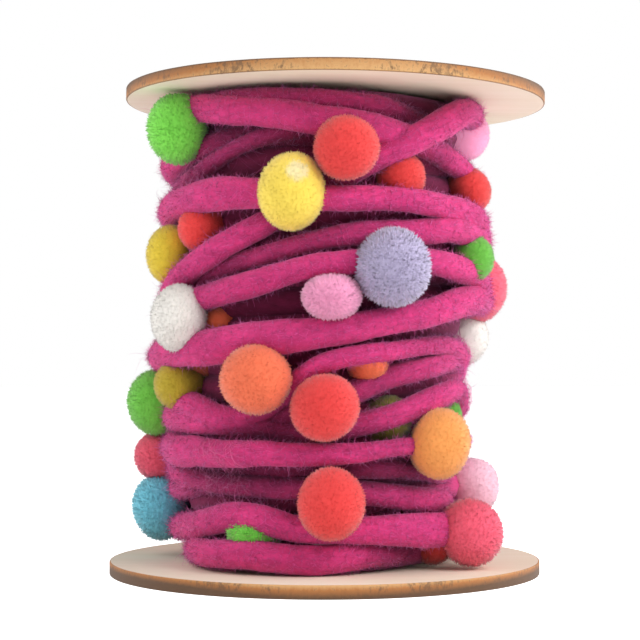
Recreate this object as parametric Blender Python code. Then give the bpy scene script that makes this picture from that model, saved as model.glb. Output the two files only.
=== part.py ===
"""Roll of pompom trim: soft felted cord with wool pompoms, wound between two thin plywood discs.

Metres, +Z up. The origin is the centre of the bottom disc's underside. Angles round the roll are in
degrees, 0 at the front (-Y) and growing towards +X.
"""
import bmesh
import bpy
from math import cos, hypot, pi, radians, sin, sqrt
from mathutils import Matrix, Vector
from mathutils.bvhtree import BVHTree

MM = 0.001

# Discs
BOTTOM_DISC_THICKNESS = 3 * MM
TOP_DISC_THICKNESS = 2.7 * MM
DISC_SIDES = 64
BOTTOM_DISC_DIAMETER = 100 * MM
TOP_DISC_DIAMETER = 98 * MM
TOP_DISC_UNDERSIDE = 109.3 * MM
TOP_DISC_SHIFT = 2.7 * MM
TOP_DISC_TILT = radians(0.7)

# Cord and winding
CORD_RADIUS = 3.1 * MM
INNER_LAYER_RADIUS = 27.6 * MM
INNER_LAYER_PITCH = 6.2 * MM
INNER_LAYER_WAVE = 0.8 * MM
INNER_LAYER_PHASE = 2.1
CORE_RADIUS = 28.0 * MM
WINDING_ROWS = 60
WINDING_COLUMNS = 54
HEIGHT_PASSES = 3
CLEARANCE = 0.3 * MM
STEEPEST_GROWTH = 2.5
FLAT_CAP = 0.999
BACK_RADIUS = 35.0 * MM
BACK_STATIONS = ((1 / 3, 150), (2 / 3, 210))
BACK_RADIUS_WAVE = 1.4 * MM
BACK_RADIUS_PHASES = (1.7, 2.0)
BACK_HEIGHT_WAVE = 1.6 * MM
BACK_HEIGHT_PHASES = (2.4, 3.0)
SLOPE_STEP = 2.0

# Turns of the cord in the order in which it is wound. Each row crosses the front of the roll:
# heights of its middle line above the origin and its distance from the axis, in millimetres.
HEIGHT_STATIONS = (-90, -60, -30, 0, 30, 60, 90)
RADIUS_STATIONS = (-90, -45, 0, 45, 90)
TURNS = (
    # name, heights at HEIGHT_STATIONS, radii at RADIUS_STATIONS
    ("lowest turn", (6.6, 6.5, 7.4, 6.6, 7.4, 8.5, 8.0), (28.0, 35.6, 35.4, 29.2, 27.0)),
    ("low wave", (10.5, 13.0, 15.9, 12.2, 13.5, 12.3, 10.5), (33.0, 34.8, 35.2, 34.0, 32.0)),
    ("low inner arch", (19.0, 21.5, 24.8, 25.6, 24.0, 21.5, 18.5), (34.0, 32.0, 32.2, 31.0, 26.5)),
    ("low inner fall", (24.0, 22.8, 21.2, 20.3, 19.0, 17.5, 15.5), (34.5, 33.2, 33.3, 31.5, 26.5)),
    ("straight turn", (29.2, 28.7, 28.6, 29.0, 30.5, 31.0, 30.0), (35.0, 36.0, 36.0, 35.2, 31.5)),
    ("inner rise", (35.5, 35.0, 34.0, 40.0, 46.8, 49.0, 46.5), (33.5, 32.5, 33.0, 33.5, 30.0)),
    ("right loop", (37.0, 37.0, 35.4, 33.6, 38.0, 42.0, 38.5), (34.5, 35.2, 31.8, 34.5, 28.8)),
    ("left knuckle", (41.0, 40.6, 37.6, 49.6, 53.0, 52.3, 49.5), (34.0, 34.0, 36.2, 33.6, 29.2)),
    ("thick diagonal", (50.0, 51.8, 56.0, 57.5, 60.5, 63.8, 63.5), (37.4, 36.2, 36.2, 36.0, 36.3)),
    ("middle rise", (58.0, 62.6, 66.8, 70.3, 71.4, 69.4, 66.0), (35.0, 35.8, 36.0, 35.6, 36.0)),
    ("middle inner rise", (64.0, 66.5, 71.0, 75.5, 78.2, 78.4, 76.0), (33.0, 32.8, 34.2, 35.6, 35.0)),
    ("long diagonal", (60.0, 68.3, 77.0, 86.5, 97.0, 104.8, 106.0), (36.0, 36.5, 32.0, 36.4, 33.9)),
    ("top inner turn", (104.5, 105.5, 105.9, 105.5, 102.5, 99.0, 96.0), (33.0, 33.2, 33.6, 30.0, 26.0)),
    ("top fall", (105.9, 105.9, 104.0, 100.5, 97.4, 92.3, 88.0), (35.2, 35.4, 35.8, 33.2, 34.8)),
    ("dark inner rise", (84.0, 88.6, 95.5, 100.5, 102.0, 100.0, 97.0), (32.0, 30.5, 30.5, 28.0, 25.0)),
    ("dark inner turn", (98.5, 98.8, 99.4, 98.0, 95.5, 94.0, 92.0), (34.5, 31.0, 29.5, 29.5, 30.0)),
    ("upper turn", (86.3, 87.0, 87.0, 83.6, 83.5, 82.2, 78.5), (35.8, 36.2, 36.0, 36.0, 35.0)),
)

# Pompoms
POMPOM_SEGMENTS = 10
POMPOM_RINGS = 7
POMPOM_GAP = 0.5 * MM
PLACE_DIGITS = 9
SAME_PLACE = 0.01 * MM
SIMPLER_STEPS = (
    # shortest edge kept, largest angle flattened
    (0.8 * MM, radians(7)),
    (0.6 * MM, radians(5)),
    (0.4 * MM, radians(4)),
    (0.2 * MM, radians(2)),
    (0.05 * MM, radians(0.5)),
)
LOCK_RINGS = 3
LOCK_EVERY = 5
LOCK_HEIGHT = 0.1
LUMP_SIZE = 0.035
LUMP_SHIFT = 17
LUMP_PHASES = (2.7, 0.9, 1.3)
TOUCH_MARGIN = 1.12
WOOD_COLOUR = (0.72, 0.56, 0.40)
WOOD_ROUGHNESS = 0.6
CORD_COLOUR = (0.51, 0.05, 0.17)
CORD_ROUGHNESS = 0.9
PILE_ROUGHNESS = 0.95
POMPOM_COLOURS = {
    # colour: red, green, blue of the pile, linear
    "red": (0.76, 0.07, 0.06),
    "coral": (0.78, 0.11, 0.14),
    "orange": (0.86, 0.18, 0.07),
    "amber": (0.88, 0.31, 0.08),
    "yellow": (0.90, 0.65, 0.08),
    "mustard": (0.52, 0.35, 0.06),
    "olive": (0.27, 0.22, 0.04),
    "green": (0.13, 0.44, 0.06),
    "teal": (0.11, 0.33, 0.42),
    "lavender": (0.43, 0.42, 0.68),
    "pink": (0.90, 0.24, 0.43),
    "pale_pink": (0.86, 0.40, 0.54),
    "white": (0.68, 0.65, 0.60),
}
POMPOMS = (
    # colour, angle round the roll in degrees, then in millimetres: height, distance from the axis,
    # half width, half height. The first pompom keeps its shape where two press together.
    ("green", -59.2, 101.2, 38.3, 7.0, 8.1),
    ("red", 6.5, 94.3, 40.0, 7.4, 7.2),
    ("yellow", -10.2, 85.1, 38.8, 7.5, 8.7),
    ("red", 31, 89.2, 32.5, 5.8, 6.0),
    ("red", 71, 87.8, 34.6, 5.6, 5.8),
    ("pale_pink", 92, 102.2, 33.0, 6.2, 6.2),
    ("red", -54, 78.8, 33.2, 6.0, 5.9),
    ("mustard", -71, 73.3, 37.0, 5.9, 7.1),
    ("lavender", 21.7, 69.0, 39.5, 8.5, 8.9),
    ("green", 66, 72.3, 36.5, 5.3, 5.7),
    ("coral", 102, 66.5, 36.6, 8.3, 8.7),
    ("pink", 2.4, 62.6, 38.0, 6.7, 5.2),
    ("white", -54.6, 58.6, 39.5, 6.5, 7.8),
    ("orange", -50, 57.6, 30.0, 4.6, 4.5),
    ("white", 106, 54.6, 34.3, 6.6, 7.0),
    ("orange", -21.6, 45.1, 39.5, 7.8, 7.8),
    ("red", 0.3, 39.1, 39.5, 7.6, 7.4),
    ("orange", 17.0, 48.3, 32.5, 4.8, 4.4),
    ("olive", 26, 36.0, 30.5, 6.0, 6.0),
    ("green", -92.8, 39.5, 39.2, 7.6, 8.0),
    ("mustard", -69.0, 43.6, 35.0, 6.5, 5.9),
    ("coral", -96, 26.7, 39.2, 6.2, 6.0),
    ("teal", -95.3, 14.7, 38.7, 7.2, 8.2),
    ("amber", 40.1, 31.0, 38.9, 7.2, 8.1),
    ("green", 60, 36.4, 30.0, 5.3, 5.4),
    ("red", 2.2, 18.7, 39.5, 7.5, 8.0),
    ("pale_pink", 89, 19.8, 34.5, 7.0, 7.0),
    ("coral", 55.6, 11.1, 39.4, 7.5, 7.8),
    ("green", -28, 11.8, 31.5, 6.7, 6.0),
    ("red", 50, 8.7, 31.0, 5.4, 5.1),
    ("orange", -65, 49.4, 30.2, 5.3, 4.3),
    ("yellow", 134, 96.0, 38.5, 7.2, 7.4),
    ("orange", 170, 100.6, 38.8, 7.4, 7.2),
    ("lavender", 205, 91.0, 39.0, 7.6, 7.6),
    ("teal", 227, 99.0, 38.2, 7.0, 7.0),
    ("white", 148, 77.0, 39.0, 7.3, 7.3),
    ("red", 184, 74.5, 39.4, 7.4, 7.6),
    ("pink", 221, 70.5, 39.0, 7.0, 7.2),
    ("coral", 231, 83.5, 38.6, 7.0, 7.0),
    ("amber", 138, 57.5, 38.6, 7.2, 7.0),
    ("teal", 168, 52.5, 39.2, 7.2, 7.4),
    ("green", 203, 49.5, 39.4, 7.4, 7.4),
    ("red", 236, 52.0, 38.8, 7.4, 7.2),
    ("lavender", 139, 38.8, 38.0, 6.8, 6.8),
    ("mustard", 152, 29.5, 38.6, 7.2, 7.2),
    ("pink", 185, 25.5, 39.2, 7.0, 7.4),
    ("orange", 219, 29.0, 38.8, 7.4, 7.4),
    ("red", 136, 12.0, 38.5, 7.2, 7.2),
    ("white", 171, 11.4, 38.6, 7.2, 7.2),
    ("yellow", 213, 11.6, 38.6, 7.0, 7.2),
)


def clear_scene():
    for item in list(bpy.data.objects):
        bpy.data.objects.remove(item, do_unlink=True)


def make_material(name, colour, roughness):
    material = bpy.data.materials.new(name)
    material.use_nodes = True
    shader = material.node_tree.nodes["Principled BSDF"]
    shader.inputs["Base Color"].default_value = (*colour, 1.0)
    shader.inputs["Roughness"].default_value = roughness
    shader.inputs["Metallic"].default_value = 0.0
    return material


def add_object(name, mesh, material):
    item = bpy.data.objects.new(name, mesh)
    bpy.context.collection.objects.link(item)
    if material:
        mesh.materials.clear()
        mesh.materials.append(material)
    return item


def mesh_from(name, builder):
    mesh = bpy.data.meshes.new(name)
    builder.normal_update()
    builder.to_mesh(mesh)
    builder.free()
    return mesh


def underside_of_top_disc(x):
    """Height of the top disc's lower face at x."""
    return TOP_DISC_UNDERSIDE - sin(TOP_DISC_TILT) * (x - TOP_DISC_SHIFT)


# The cord's middle line


def hermite(points, angle):
    """Smooth value at an angle, through (angle, value) points in rising order."""
    last = len(points) - 1
    index = 0
    while index < last - 1 and points[index + 1][0] < angle:
        index += 1
    before = points[max(index - 1, 0)]
    start = points[index]
    end = points[index + 1]
    after = points[min(index + 2, last)]
    span = end[0] - start[0]
    slope_in = (end[1] - before[1]) / (end[0] - before[0])
    slope_out = (after[1] - start[1]) / (after[0] - start[0])
    t = (angle - start[0]) / span
    value = (2 * t ** 3 - 3 * t ** 2 + 1) * start[1]
    value += (t ** 3 - 2 * t ** 2 + t) * span * slope_in
    value += (3 * t ** 2 - 2 * t ** 3) * end[1]
    value += (t ** 3 - t ** 2) * span * slope_out
    return value


def cord_points():
    """Height and radius points of the whole cord; the angle keeps growing by 360 a turn.

    The last turn runs down the back to the start of the first, so that no end shows.
    """
    whole = 360 * len(TURNS)
    heights = []
    radii = []
    for number, (_, row_heights, row_radii) in enumerate(TURNS):
        turn = 360 * number
        following = TURNS[(number + 1) % len(TURNS)]
        heights += [(turn + angle, z * MM) for angle, z in zip(HEIGHT_STATIONS, row_heights)]
        radii += [(turn + angle, r * MM) for angle, r in zip(RADIUS_STATIONS, row_radii)]
        climb = following[1][0] - row_heights[-1]
        for share, angle in BACK_STATIONS:
            height_wave = sin(BACK_HEIGHT_PHASES[0] * number + BACK_HEIGHT_PHASES[1] * share)
            radius_wave = sin(BACK_RADIUS_PHASES[0] * number + BACK_RADIUS_PHASES[1] * share)
            z = (row_heights[-1] + share * climb) * MM + BACK_HEIGHT_WAVE * height_wave
            heights.append((turn + angle, z))
            radii.append((turn + angle, BACK_RADIUS + BACK_RADIUS_WAVE * radius_wave))
    for points in (heights, radii):
        last_angle, last_value = points[-1]
        points += [(angle + whole, value) for angle, value in points[:2]]
        points.insert(0, (last_angle - whole, last_value))
    return heights, radii


def turn_crossings(angle, points):
    """Height, radius and steepness of every turn of the outer cord at an angle round the roll."""
    heights, radii = points
    lowest = BOTTOM_DISC_THICKNESS + CLEARANCE + CORD_RADIUS
    crossings = []
    for number in range(len(TURNS)):
        place = angle + 360 * number
        z = max(hermite(heights, place), lowest)
        climb = hermite(heights, place + SLOPE_STEP) - hermite(heights, place - SLOPE_STEP)
        r = hermite(radii, place)
        run = 2 * radians(SLOPE_STEP) * r
        crossings.append((z, r, run / hypot(run, climb)))
    return crossings


def inner_crossings(angle):
    """The same for the even inner layer that shows in the gaps."""
    first = BOTTOM_DISC_THICKNESS + CLEARANCE + CORD_RADIUS
    count = int((TOP_DISC_UNDERSIDE - 2 * CORD_RADIUS - first) / INNER_LAYER_PITCH) + 2
    crossings = []
    for number in range(-1, count):
        z = first + INNER_LAYER_PITCH * (number + (angle + 90) / 360)
        z += INNER_LAYER_WAVE * sin(radians(2 * angle) + INNER_LAYER_PHASE * number)
        crossings.append((z, INNER_LAYER_RADIUS, 1.0))
    return crossings


def surface_radius(z, crossings):
    """Outside of the winding at a height: the cord that stands furthest out there."""
    radius = CORE_RADIUS
    for height, middle, steepness in crossings:
        offset = abs(z - height) * steepness
        if offset < CORD_RADIUS:
            radius = max(radius, middle + sqrt(CORD_RADIUS ** 2 - offset ** 2))
    return radius


def round_point(angle, radius, z):
    return Vector((radius * sin(radians(angle)), -radius * cos(radians(angle)), z))


def height_at(share, angle, radius):
    """Height at a share of the room between the discs, which narrows with the top disc's tilt."""
    bottom = BOTTOM_DISC_THICKNESS + CLEARANCE
    top = underside_of_top_disc(radius * sin(radians(angle))) - CLEARANCE
    return bottom + share * (top - bottom)


def build_winding(material):
    """One closed solid: a grid of rows and columns over the turns, with a flat cap at each end."""
    points = cord_points()
    builder = bmesh.new()
    columns = []
    for column in range(WINDING_COLUMNS):
        angle = -90 + 360 * column / WINDING_COLUMNS
        crossings = turn_crossings(angle, points) + inner_crossings(angle)
        ring = []
        for row in range(WINDING_ROWS + 1):
            share = row / WINDING_ROWS
            radius = CORE_RADIUS
            for _ in range(HEIGHT_PASSES):
                radius = surface_radius(height_at(share, angle, radius), crossings)
            ring.append(builder.verts.new(round_point(angle, radius, height_at(share, angle, radius))))
        columns.append(ring)

    def distance(vertex):
        return hypot(vertex.co.x, vertex.co.y)

    for left, right in zip(columns, columns[1:] + columns[:1]):
        for row in range(WINDING_ROWS):
            a, b, c, d = left[row], right[row], right[row + 1], left[row + 1]
            if distance(a) + distance(c) > distance(b) + distance(d):
                builder.faces.new((a, b, c))
                builder.faces.new((a, c, d))
            else:
                builder.faces.new((a, b, d))
                builder.faces.new((b, c, d))
    builder.faces.new([ring[0] for ring in reversed(columns)])
    builder.faces.new([ring[-1] for ring in columns])
    mesh = mesh_from("winding", builder)
    mesh.shade_smooth()
    return add_object("winding", mesh, material)


def build_disc(name, diameter, thickness, material):
    """A round plate, its underside at z = 0."""
    builder = bmesh.new()
    bmesh.ops.create_cone(
        builder, cap_ends=True, segments=DISC_SIDES,
        radius1=diameter / 2, radius2=diameter / 2, depth=thickness,
        matrix=Matrix.Translation((0, 0, thickness / 2)))
    mesh = mesh_from(name, builder)
    mesh.shade_smooth()
    mesh.set_sharp_from_angle(angle=radians(30))
    return add_object(name, mesh, material)


def build_discs(material):
    build_disc("disc_bottom", BOTTOM_DISC_DIAMETER, BOTTOM_DISC_THICKNESS, material)
    top = build_disc("disc_top", TOP_DISC_DIAMETER, TOP_DISC_THICKNESS, material)
    top.location = (TOP_DISC_SHIFT, 0, TOP_DISC_UNDERSIDE)
    top.rotation_euler = (0, TOP_DISC_TILT, 0)


# Pompoms


def pompom_frame(angle, height, distance):
    """A frame at the pompom's middle whose Z axis points straight out of the roll."""
    outward = round_point(angle, 1.0, 0.0)
    up = Vector((0, 0, 1))
    side = up.cross(outward)
    frame = Matrix((side, up, outward)).transposed().to_4x4()
    frame.translation = round_point(angle, distance * MM, height * MM)
    return frame


def ball_point(number, ring, segment):
    """A point of a lumpy ball of radius 1, its first pole on +Z."""
    polar = pi * ring / POMPOM_RINGS
    around = 2 * pi * segment / POMPOM_SEGMENTS
    index = LUMP_SHIFT * number + POMPOM_SEGMENTS * ring + segment
    radius = 1 + LUMP_SIZE * sin(LUMP_PHASES[0] * index + LUMP_PHASES[1] * sin(LUMP_PHASES[2] * index))
    return Vector((sin(polar) * cos(around), sin(polar) * sin(around), cos(polar))) * radius


def ball_builder(number, row, extra):
    """A lumpy ball with a few four-sided locks standing out of its pile."""
    _, angle, height, distance, half_width, half_height = row
    builder = bmesh.new()
    front = builder.verts.new(ball_point(number, 0, 0))
    rings = [
        [builder.verts.new(ball_point(number, ring, segment)) for segment in range(POMPOM_SEGMENTS)]
        for ring in range(1, POMPOM_RINGS)]
    back = builder.verts.new(ball_point(number, POMPOM_RINGS, 0))
    count = 0
    for segment in range(POMPOM_SEGMENTS):
        following = (segment + 1) % POMPOM_SEGMENTS
        builder.faces.new((front, rings[0][segment], rings[0][following]))
        builder.faces.new((back, rings[-1][following], rings[-1][segment]))
        for ring, (upper, lower) in enumerate(zip(rings, rings[1:])):
            corners = (upper[segment], lower[segment], lower[following], upper[following])
            count += 1
            if ring < LOCK_RINGS and (count + number) % LOCK_EVERY == 0:
                middle = sum((corner.co for corner in corners), Vector()) / 4
                tip = builder.verts.new(middle * (1 + LOCK_HEIGHT))
                for one, other in zip(corners, corners[1:] + corners[:1]):
                    builder.faces.new((one, other, tip))
            else:
                builder.faces.new(corners[:3])
                builder.faces.new((corners[0], corners[2], corners[3]))
    width = half_width * MM + extra
    size = Matrix.Diagonal((width, half_height * MM + extra, width, 1))
    builder.transform(pompom_frame(angle, height, distance) @ size)
    low = BOTTOM_DISC_THICKNESS + CLEARANCE
    for vertex in builder.verts:
        high = underside_of_top_disc(vertex.co.x) - CLEARANCE
        vertex.co.z = min(max(vertex.co.z, low), high)
    return builder


def winding_cutter(winding):
    """The winding grown outwards, so that what it cuts keeps the clearance also beside a steep flank."""
    builder = bmesh.new()
    builder.from_mesh(winding.data)
    bmesh.ops.triangulate(builder, faces=builder.faces[:])
    builder.normal_update()
    flanks = [face for face in builder.faces if abs(face.normal.z) < FLAT_CAP]
    growth = {}
    for face in flanks:
        for vertex in face.verts:
            outward = Vector((vertex.co.x, vertex.co.y, 0)).normalized()
            steepness = 1 / max(face.normal.dot(outward), 1 / STEEPEST_GROWTH)
            growth[vertex] = max(growth.get(vertex, 1.0), steepness)
    middle = TOP_DISC_UNDERSIDE / 2
    caps = [
        vertex for vertex in builder.verts
        if any(abs(face.normal.z) > FLAT_CAP for face in vertex.link_faces)]
    for vertex, factor in growth.items():
        outward = Vector((vertex.co.x, vertex.co.y, 0)).normalized()
        vertex.co += outward * POMPOM_GAP * factor
    for vertex in caps:
        vertex.co.z += CLEARANCE if vertex.co.z > middle else -CLEARANCE
    cutter = add_object("winding_cutter", mesh_from("winding_cutter", builder), None)
    hide_cutter(cutter)
    return cutter


def hide_cutter(cutter):
    cutter.hide_render = True
    cutter.display_type = "WIRE"


def volume_of(faces):
    """Six times the volume inside closed triangles; only the order of sizes matters."""
    total = 0.0
    for face in faces:
        a, b, c = [vertex.co for vertex in face.verts]
        total += a.dot(b.cross(c))
    return total


def delete_smaller_bodies(builder):
    """Delete every island but the largest."""
    islands = []
    seen = set()
    for first in builder.faces:
        if first in seen:
            continue
        seen.add(first)
        island = [first]
        for face in island:
            for edge in face.edges:
                for other in edge.link_faces:
                    if other not in seen:
                        seen.add(other)
                        island.append(other)
        islands.append(island)
    islands.sort(key=volume_of)
    for island in islands[:-1]:
        bmesh.ops.delete(builder, geom=island, context="FACES")
    loose = [vertex for vertex in builder.verts if not vertex.link_faces]
    bmesh.ops.delete(builder, geom=loose, context="VERTS")


def ordered_builder(mesh):
    """A copy whose points and faces come in an order that depends only on its shape."""
    places = [tuple(round(part, PLACE_DIGITS) for part in vertex.co) for vertex in mesh.vertices]
    builder = bmesh.new()
    corner_of = {place: builder.verts.new(place) for place in sorted(set(places))}
    outlines = set()
    for polygon in mesh.polygons:
        outline = list(dict.fromkeys(places[index] for index in polygon.vertices))
        if len(outline) > 2:
            first = outline.index(min(outline))
            outlines.add(tuple(outline[first:] + outline[:first]))
    for outline in sorted(outlines):
        builder.faces.new([corner_of[place] for place in outline])
    return builder


def is_closed(builder):
    return all(len(edge.link_faces) == 2 for edge in builder.edges)


def is_clear(builder, obstacles):
    tree = BVHTree.FromBMesh(builder)
    return not any(tree.overlap(obstacle) for obstacle in obstacles)


def tree_of(item):
    builder = bmesh.new()
    builder.from_mesh(item.data)
    tree = BVHTree.FromBMesh(builder)
    builder.free()
    return tree


def tidy_body(mesh, obstacles):
    """Keep the largest body of a cut mesh, with as few faces as leave it closed and clear."""
    for shortest, flattest in SIMPLER_STEPS:
        builder = ordered_builder(mesh)
        bmesh.ops.remove_doubles(builder, verts=builder.verts, dist=SAME_PLACE)
        bmesh.ops.triangulate(builder, faces=builder.faces[:])
        delete_smaller_bodies(builder)
        bmesh.ops.dissolve_degenerate(builder, edges=builder.edges, dist=shortest)
        bmesh.ops.dissolve_limit(builder, angle_limit=flattest, verts=builder.verts, edges=builder.edges)
        bmesh.ops.triangulate(builder, faces=builder.faces[:])
        delete_smaller_bodies(builder)
        if is_closed(builder) and is_clear(builder, obstacles):
            builder.to_mesh(mesh)
            builder.free()
            return
        builder.free()
    raise RuntimeError(mesh.name + " can't be made closed and clear")


def cut_by(item, cutters, obstacles):
    """Take the cutters out of a solid and keep its largest body, clear of the obstacles."""
    for cutter in cutters:
        boolean = item.modifiers.new("cut", "BOOLEAN")
        boolean.operation = "DIFFERENCE"
        boolean.solver = "EXACT"
        boolean.object = cutter
    bpy.context.view_layer.update()
    evaluated = item.evaluated_get(bpy.context.evaluated_depsgraph_get())
    mesh = bpy.data.meshes.new_from_object(evaluated)
    item.modifiers.clear()
    tidy_body(mesh, obstacles)
    item.data = mesh
    mesh.shade_smooth()


def rows_touch(one, other):
    first = pompom_frame(*one[1:4]).translation
    second = pompom_frame(*other[1:4]).translation
    reach = (max(one[4:6]) + max(other[4:6])) * TOUCH_MARGIN * MM + CLEARANCE
    return (first - second).length < reach


def build_pompoms(winding, materials):
    """Each ball gives way to the cord and to the pompoms before it in the list."""
    cord_cutter = winding_cutter(winding)
    obstacles = [tree_of(winding)]
    for number, row in enumerate(POMPOMS):
        colour = row[0]
        name = f"pompom_{number + 1:02d}_{colour}"
        item = add_object(name, mesh_from(name, ball_builder(number, row, 0.0)), materials[colour])
        cutters = [cord_cutter]
        for earlier, other in enumerate(POMPOMS[:number]):
            if rows_touch(row, other):
                builder = ball_builder(earlier, other, POMPOM_GAP)
                label = f"cutter_{number + 1:02d}_{earlier + 1:02d}"
                cutter = add_object(label, mesh_from(label, builder), None)
                hide_cutter(cutter)
                cutters.append(cutter)
        cut_by(item, cutters, obstacles)
        obstacles.append(tree_of(item))
        item.data.name = name
        item.data.materials.clear()
        item.data.materials.append(materials[colour])
        for cutter in cutters[1:]:
            bpy.data.objects.remove(cutter, do_unlink=True)
    bpy.data.objects.remove(cord_cutter, do_unlink=True)


def main():
    clear_scene()
    wood = make_material("birch_plywood", WOOD_COLOUR, WOOD_ROUGHNESS)
    felt = make_material("felted_cord", CORD_COLOUR, CORD_ROUGHNESS)
    pile = {
        colour: make_material("pile_" + colour, value, PILE_ROUGHNESS)
        for colour, value in POMPOM_COLOURS.items()}
    build_discs(wood)
    winding = build_winding(felt)
    build_pompoms(winding, pile)


main()
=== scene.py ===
"""Roll of pompom trim: felted cord with wool pompoms, wound between two thin plywood discs.

Laid out as a Blender add-on and run as a script. Metres, +Z up. Angles round the roll are in
degrees, 0 at the front (-Y) and growing towards +X.
"""
from math import ceil, cos, pi, radians, sin

import bmesh
import bpy
import numpy as np
from bpy.props import FloatProperty, FloatVectorProperty, IntProperty, PointerProperty
from mathutils import Matrix, Vector


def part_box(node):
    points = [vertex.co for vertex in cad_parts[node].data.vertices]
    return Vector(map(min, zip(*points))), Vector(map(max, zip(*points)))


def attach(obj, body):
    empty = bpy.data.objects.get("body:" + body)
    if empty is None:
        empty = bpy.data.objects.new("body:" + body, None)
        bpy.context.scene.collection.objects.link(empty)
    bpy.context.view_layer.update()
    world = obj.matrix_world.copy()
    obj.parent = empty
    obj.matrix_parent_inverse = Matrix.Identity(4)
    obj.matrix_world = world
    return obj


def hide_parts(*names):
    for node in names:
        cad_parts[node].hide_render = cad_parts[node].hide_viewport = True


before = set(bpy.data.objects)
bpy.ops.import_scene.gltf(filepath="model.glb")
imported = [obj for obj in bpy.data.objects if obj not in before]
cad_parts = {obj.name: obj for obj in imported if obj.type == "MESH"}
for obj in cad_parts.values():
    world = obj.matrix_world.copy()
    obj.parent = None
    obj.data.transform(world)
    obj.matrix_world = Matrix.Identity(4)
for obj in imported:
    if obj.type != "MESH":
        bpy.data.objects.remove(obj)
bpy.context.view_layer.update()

bl_info = {
    "name": "Pompom Trim Roll",
    "version": (1, 0, 0),
    "blender": (4, 5, 0),
    "location": "3D View > Sidebar > Trim Roll",
    "description": "Makes a roll of felted cord with wool pompoms between two plywood discs",
    "category": "Add Mesh",
}

BODY = "root"
MM = 0.001
SEED = 11
PILE_SEED = SEED + 99
LOBE_SEED = SEED + 499

# Discs, placed as the frame holds them
BOTTOM_LOW, BOTTOM_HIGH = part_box("disc_bottom")
BOTTOM_DISC_THICKNESS = BOTTOM_HIGH.z - BOTTOM_LOW.z
BOTTOM_DISC_DIAMETER = BOTTOM_HIGH.x - BOTTOM_LOW.x
TOP_DISC_THICKNESS = 2.7 * MM
TOP_DISC_DIAMETER = 98 * MM
TOP_DISC_UNDERSIDE = 109.3 * MM
TOP_DISC_SHIFT = 2.7 * MM
TOP_DISC_TILT = radians(0.7)
DISC_SIDES = 240
DISC_EDGE = 0.18 * MM
DISC_CORNER = (
    # inset and height in edge widths
    (1.6, 0.0), (0.4, 0.2), (0.0, 1.0),
)
DISC_WAVE = 0.02 * MM
DISC_WAVE_WIDTH = 2.0
DISC_SHARP_ANGLE = radians(40)
# How light the edge starts, how much lighter it gets, strength of the inner burnt line
BOTTOM_RIM = (-0.05, 1.1, 0.0)
TOP_RIM = (0.76, 0.3, 0.6)
# Painted shade on the cut edges, darker towards the sides of the roll
RIM_SIDE_SHADE = {
    # disc: amount of painted shade on its cut edge, as (angle, amount) points
    "disc_bottom": ((-180, 0.5), (-90, 0.6), (-55, 0.78), (-34, 0.5), (-12, 0.0), (10, 0.0), (30, 0.2),
                    (60, 0.5), (90, 0.7), (180, 0.5)),
    "disc_top": ((-180, 0.4), (-90, 0.7), (-60, 0.5), (-42, 0.36), (-24, 0.12), (-8, 0.0), (20, 0.0),
                 (40, 0.25), (60, 0.55), (90, 0.7), (180, 0.4)),
}

# Winding
CLEARANCE = 0.3 * MM
FIBRE_GAP = 0.08 * MM
CORD_SIDES = 18
CORD_STEP = 2
CORD_WOBBLE = 0.2 * MM
CORD_WOBBLE_WIDTH = 9
INNER_LAYER_RADIUS = 28.3 * MM
INNER_LAYER_PITCH = 6.2 * MM
INNER_LAYER_WAVE = 0.24 * MM
INNER_LAYER_PHASE = 2.1
INNER_LAYER_TOP = 105.3 * MM
INNER_CORD_SIDES = 10
INNER_CORD_EXTRA = 0.4 * MM
INNER_CORD_STEP = 4
BACK_RADIUS = 35.0 * MM
BACK_STATIONS = ((1 / 3, 150), (2 / 3, 210))
BACK_RADIUS_WAVE = 1.4 * MM
BACK_RADIUS_PHASES = (1.7, 2.0)
BACK_HEIGHT_WAVE = 1.6 * MM
BACK_HEIGHT_PHASES = (2.4, 3.0)

# Painted shade: share of the wool's colour that is taken away deep in a gap, where shadow falls
OUTER_GAP_SHADE = 0.70
INNER_GAP_SHADE = 0.76

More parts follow.
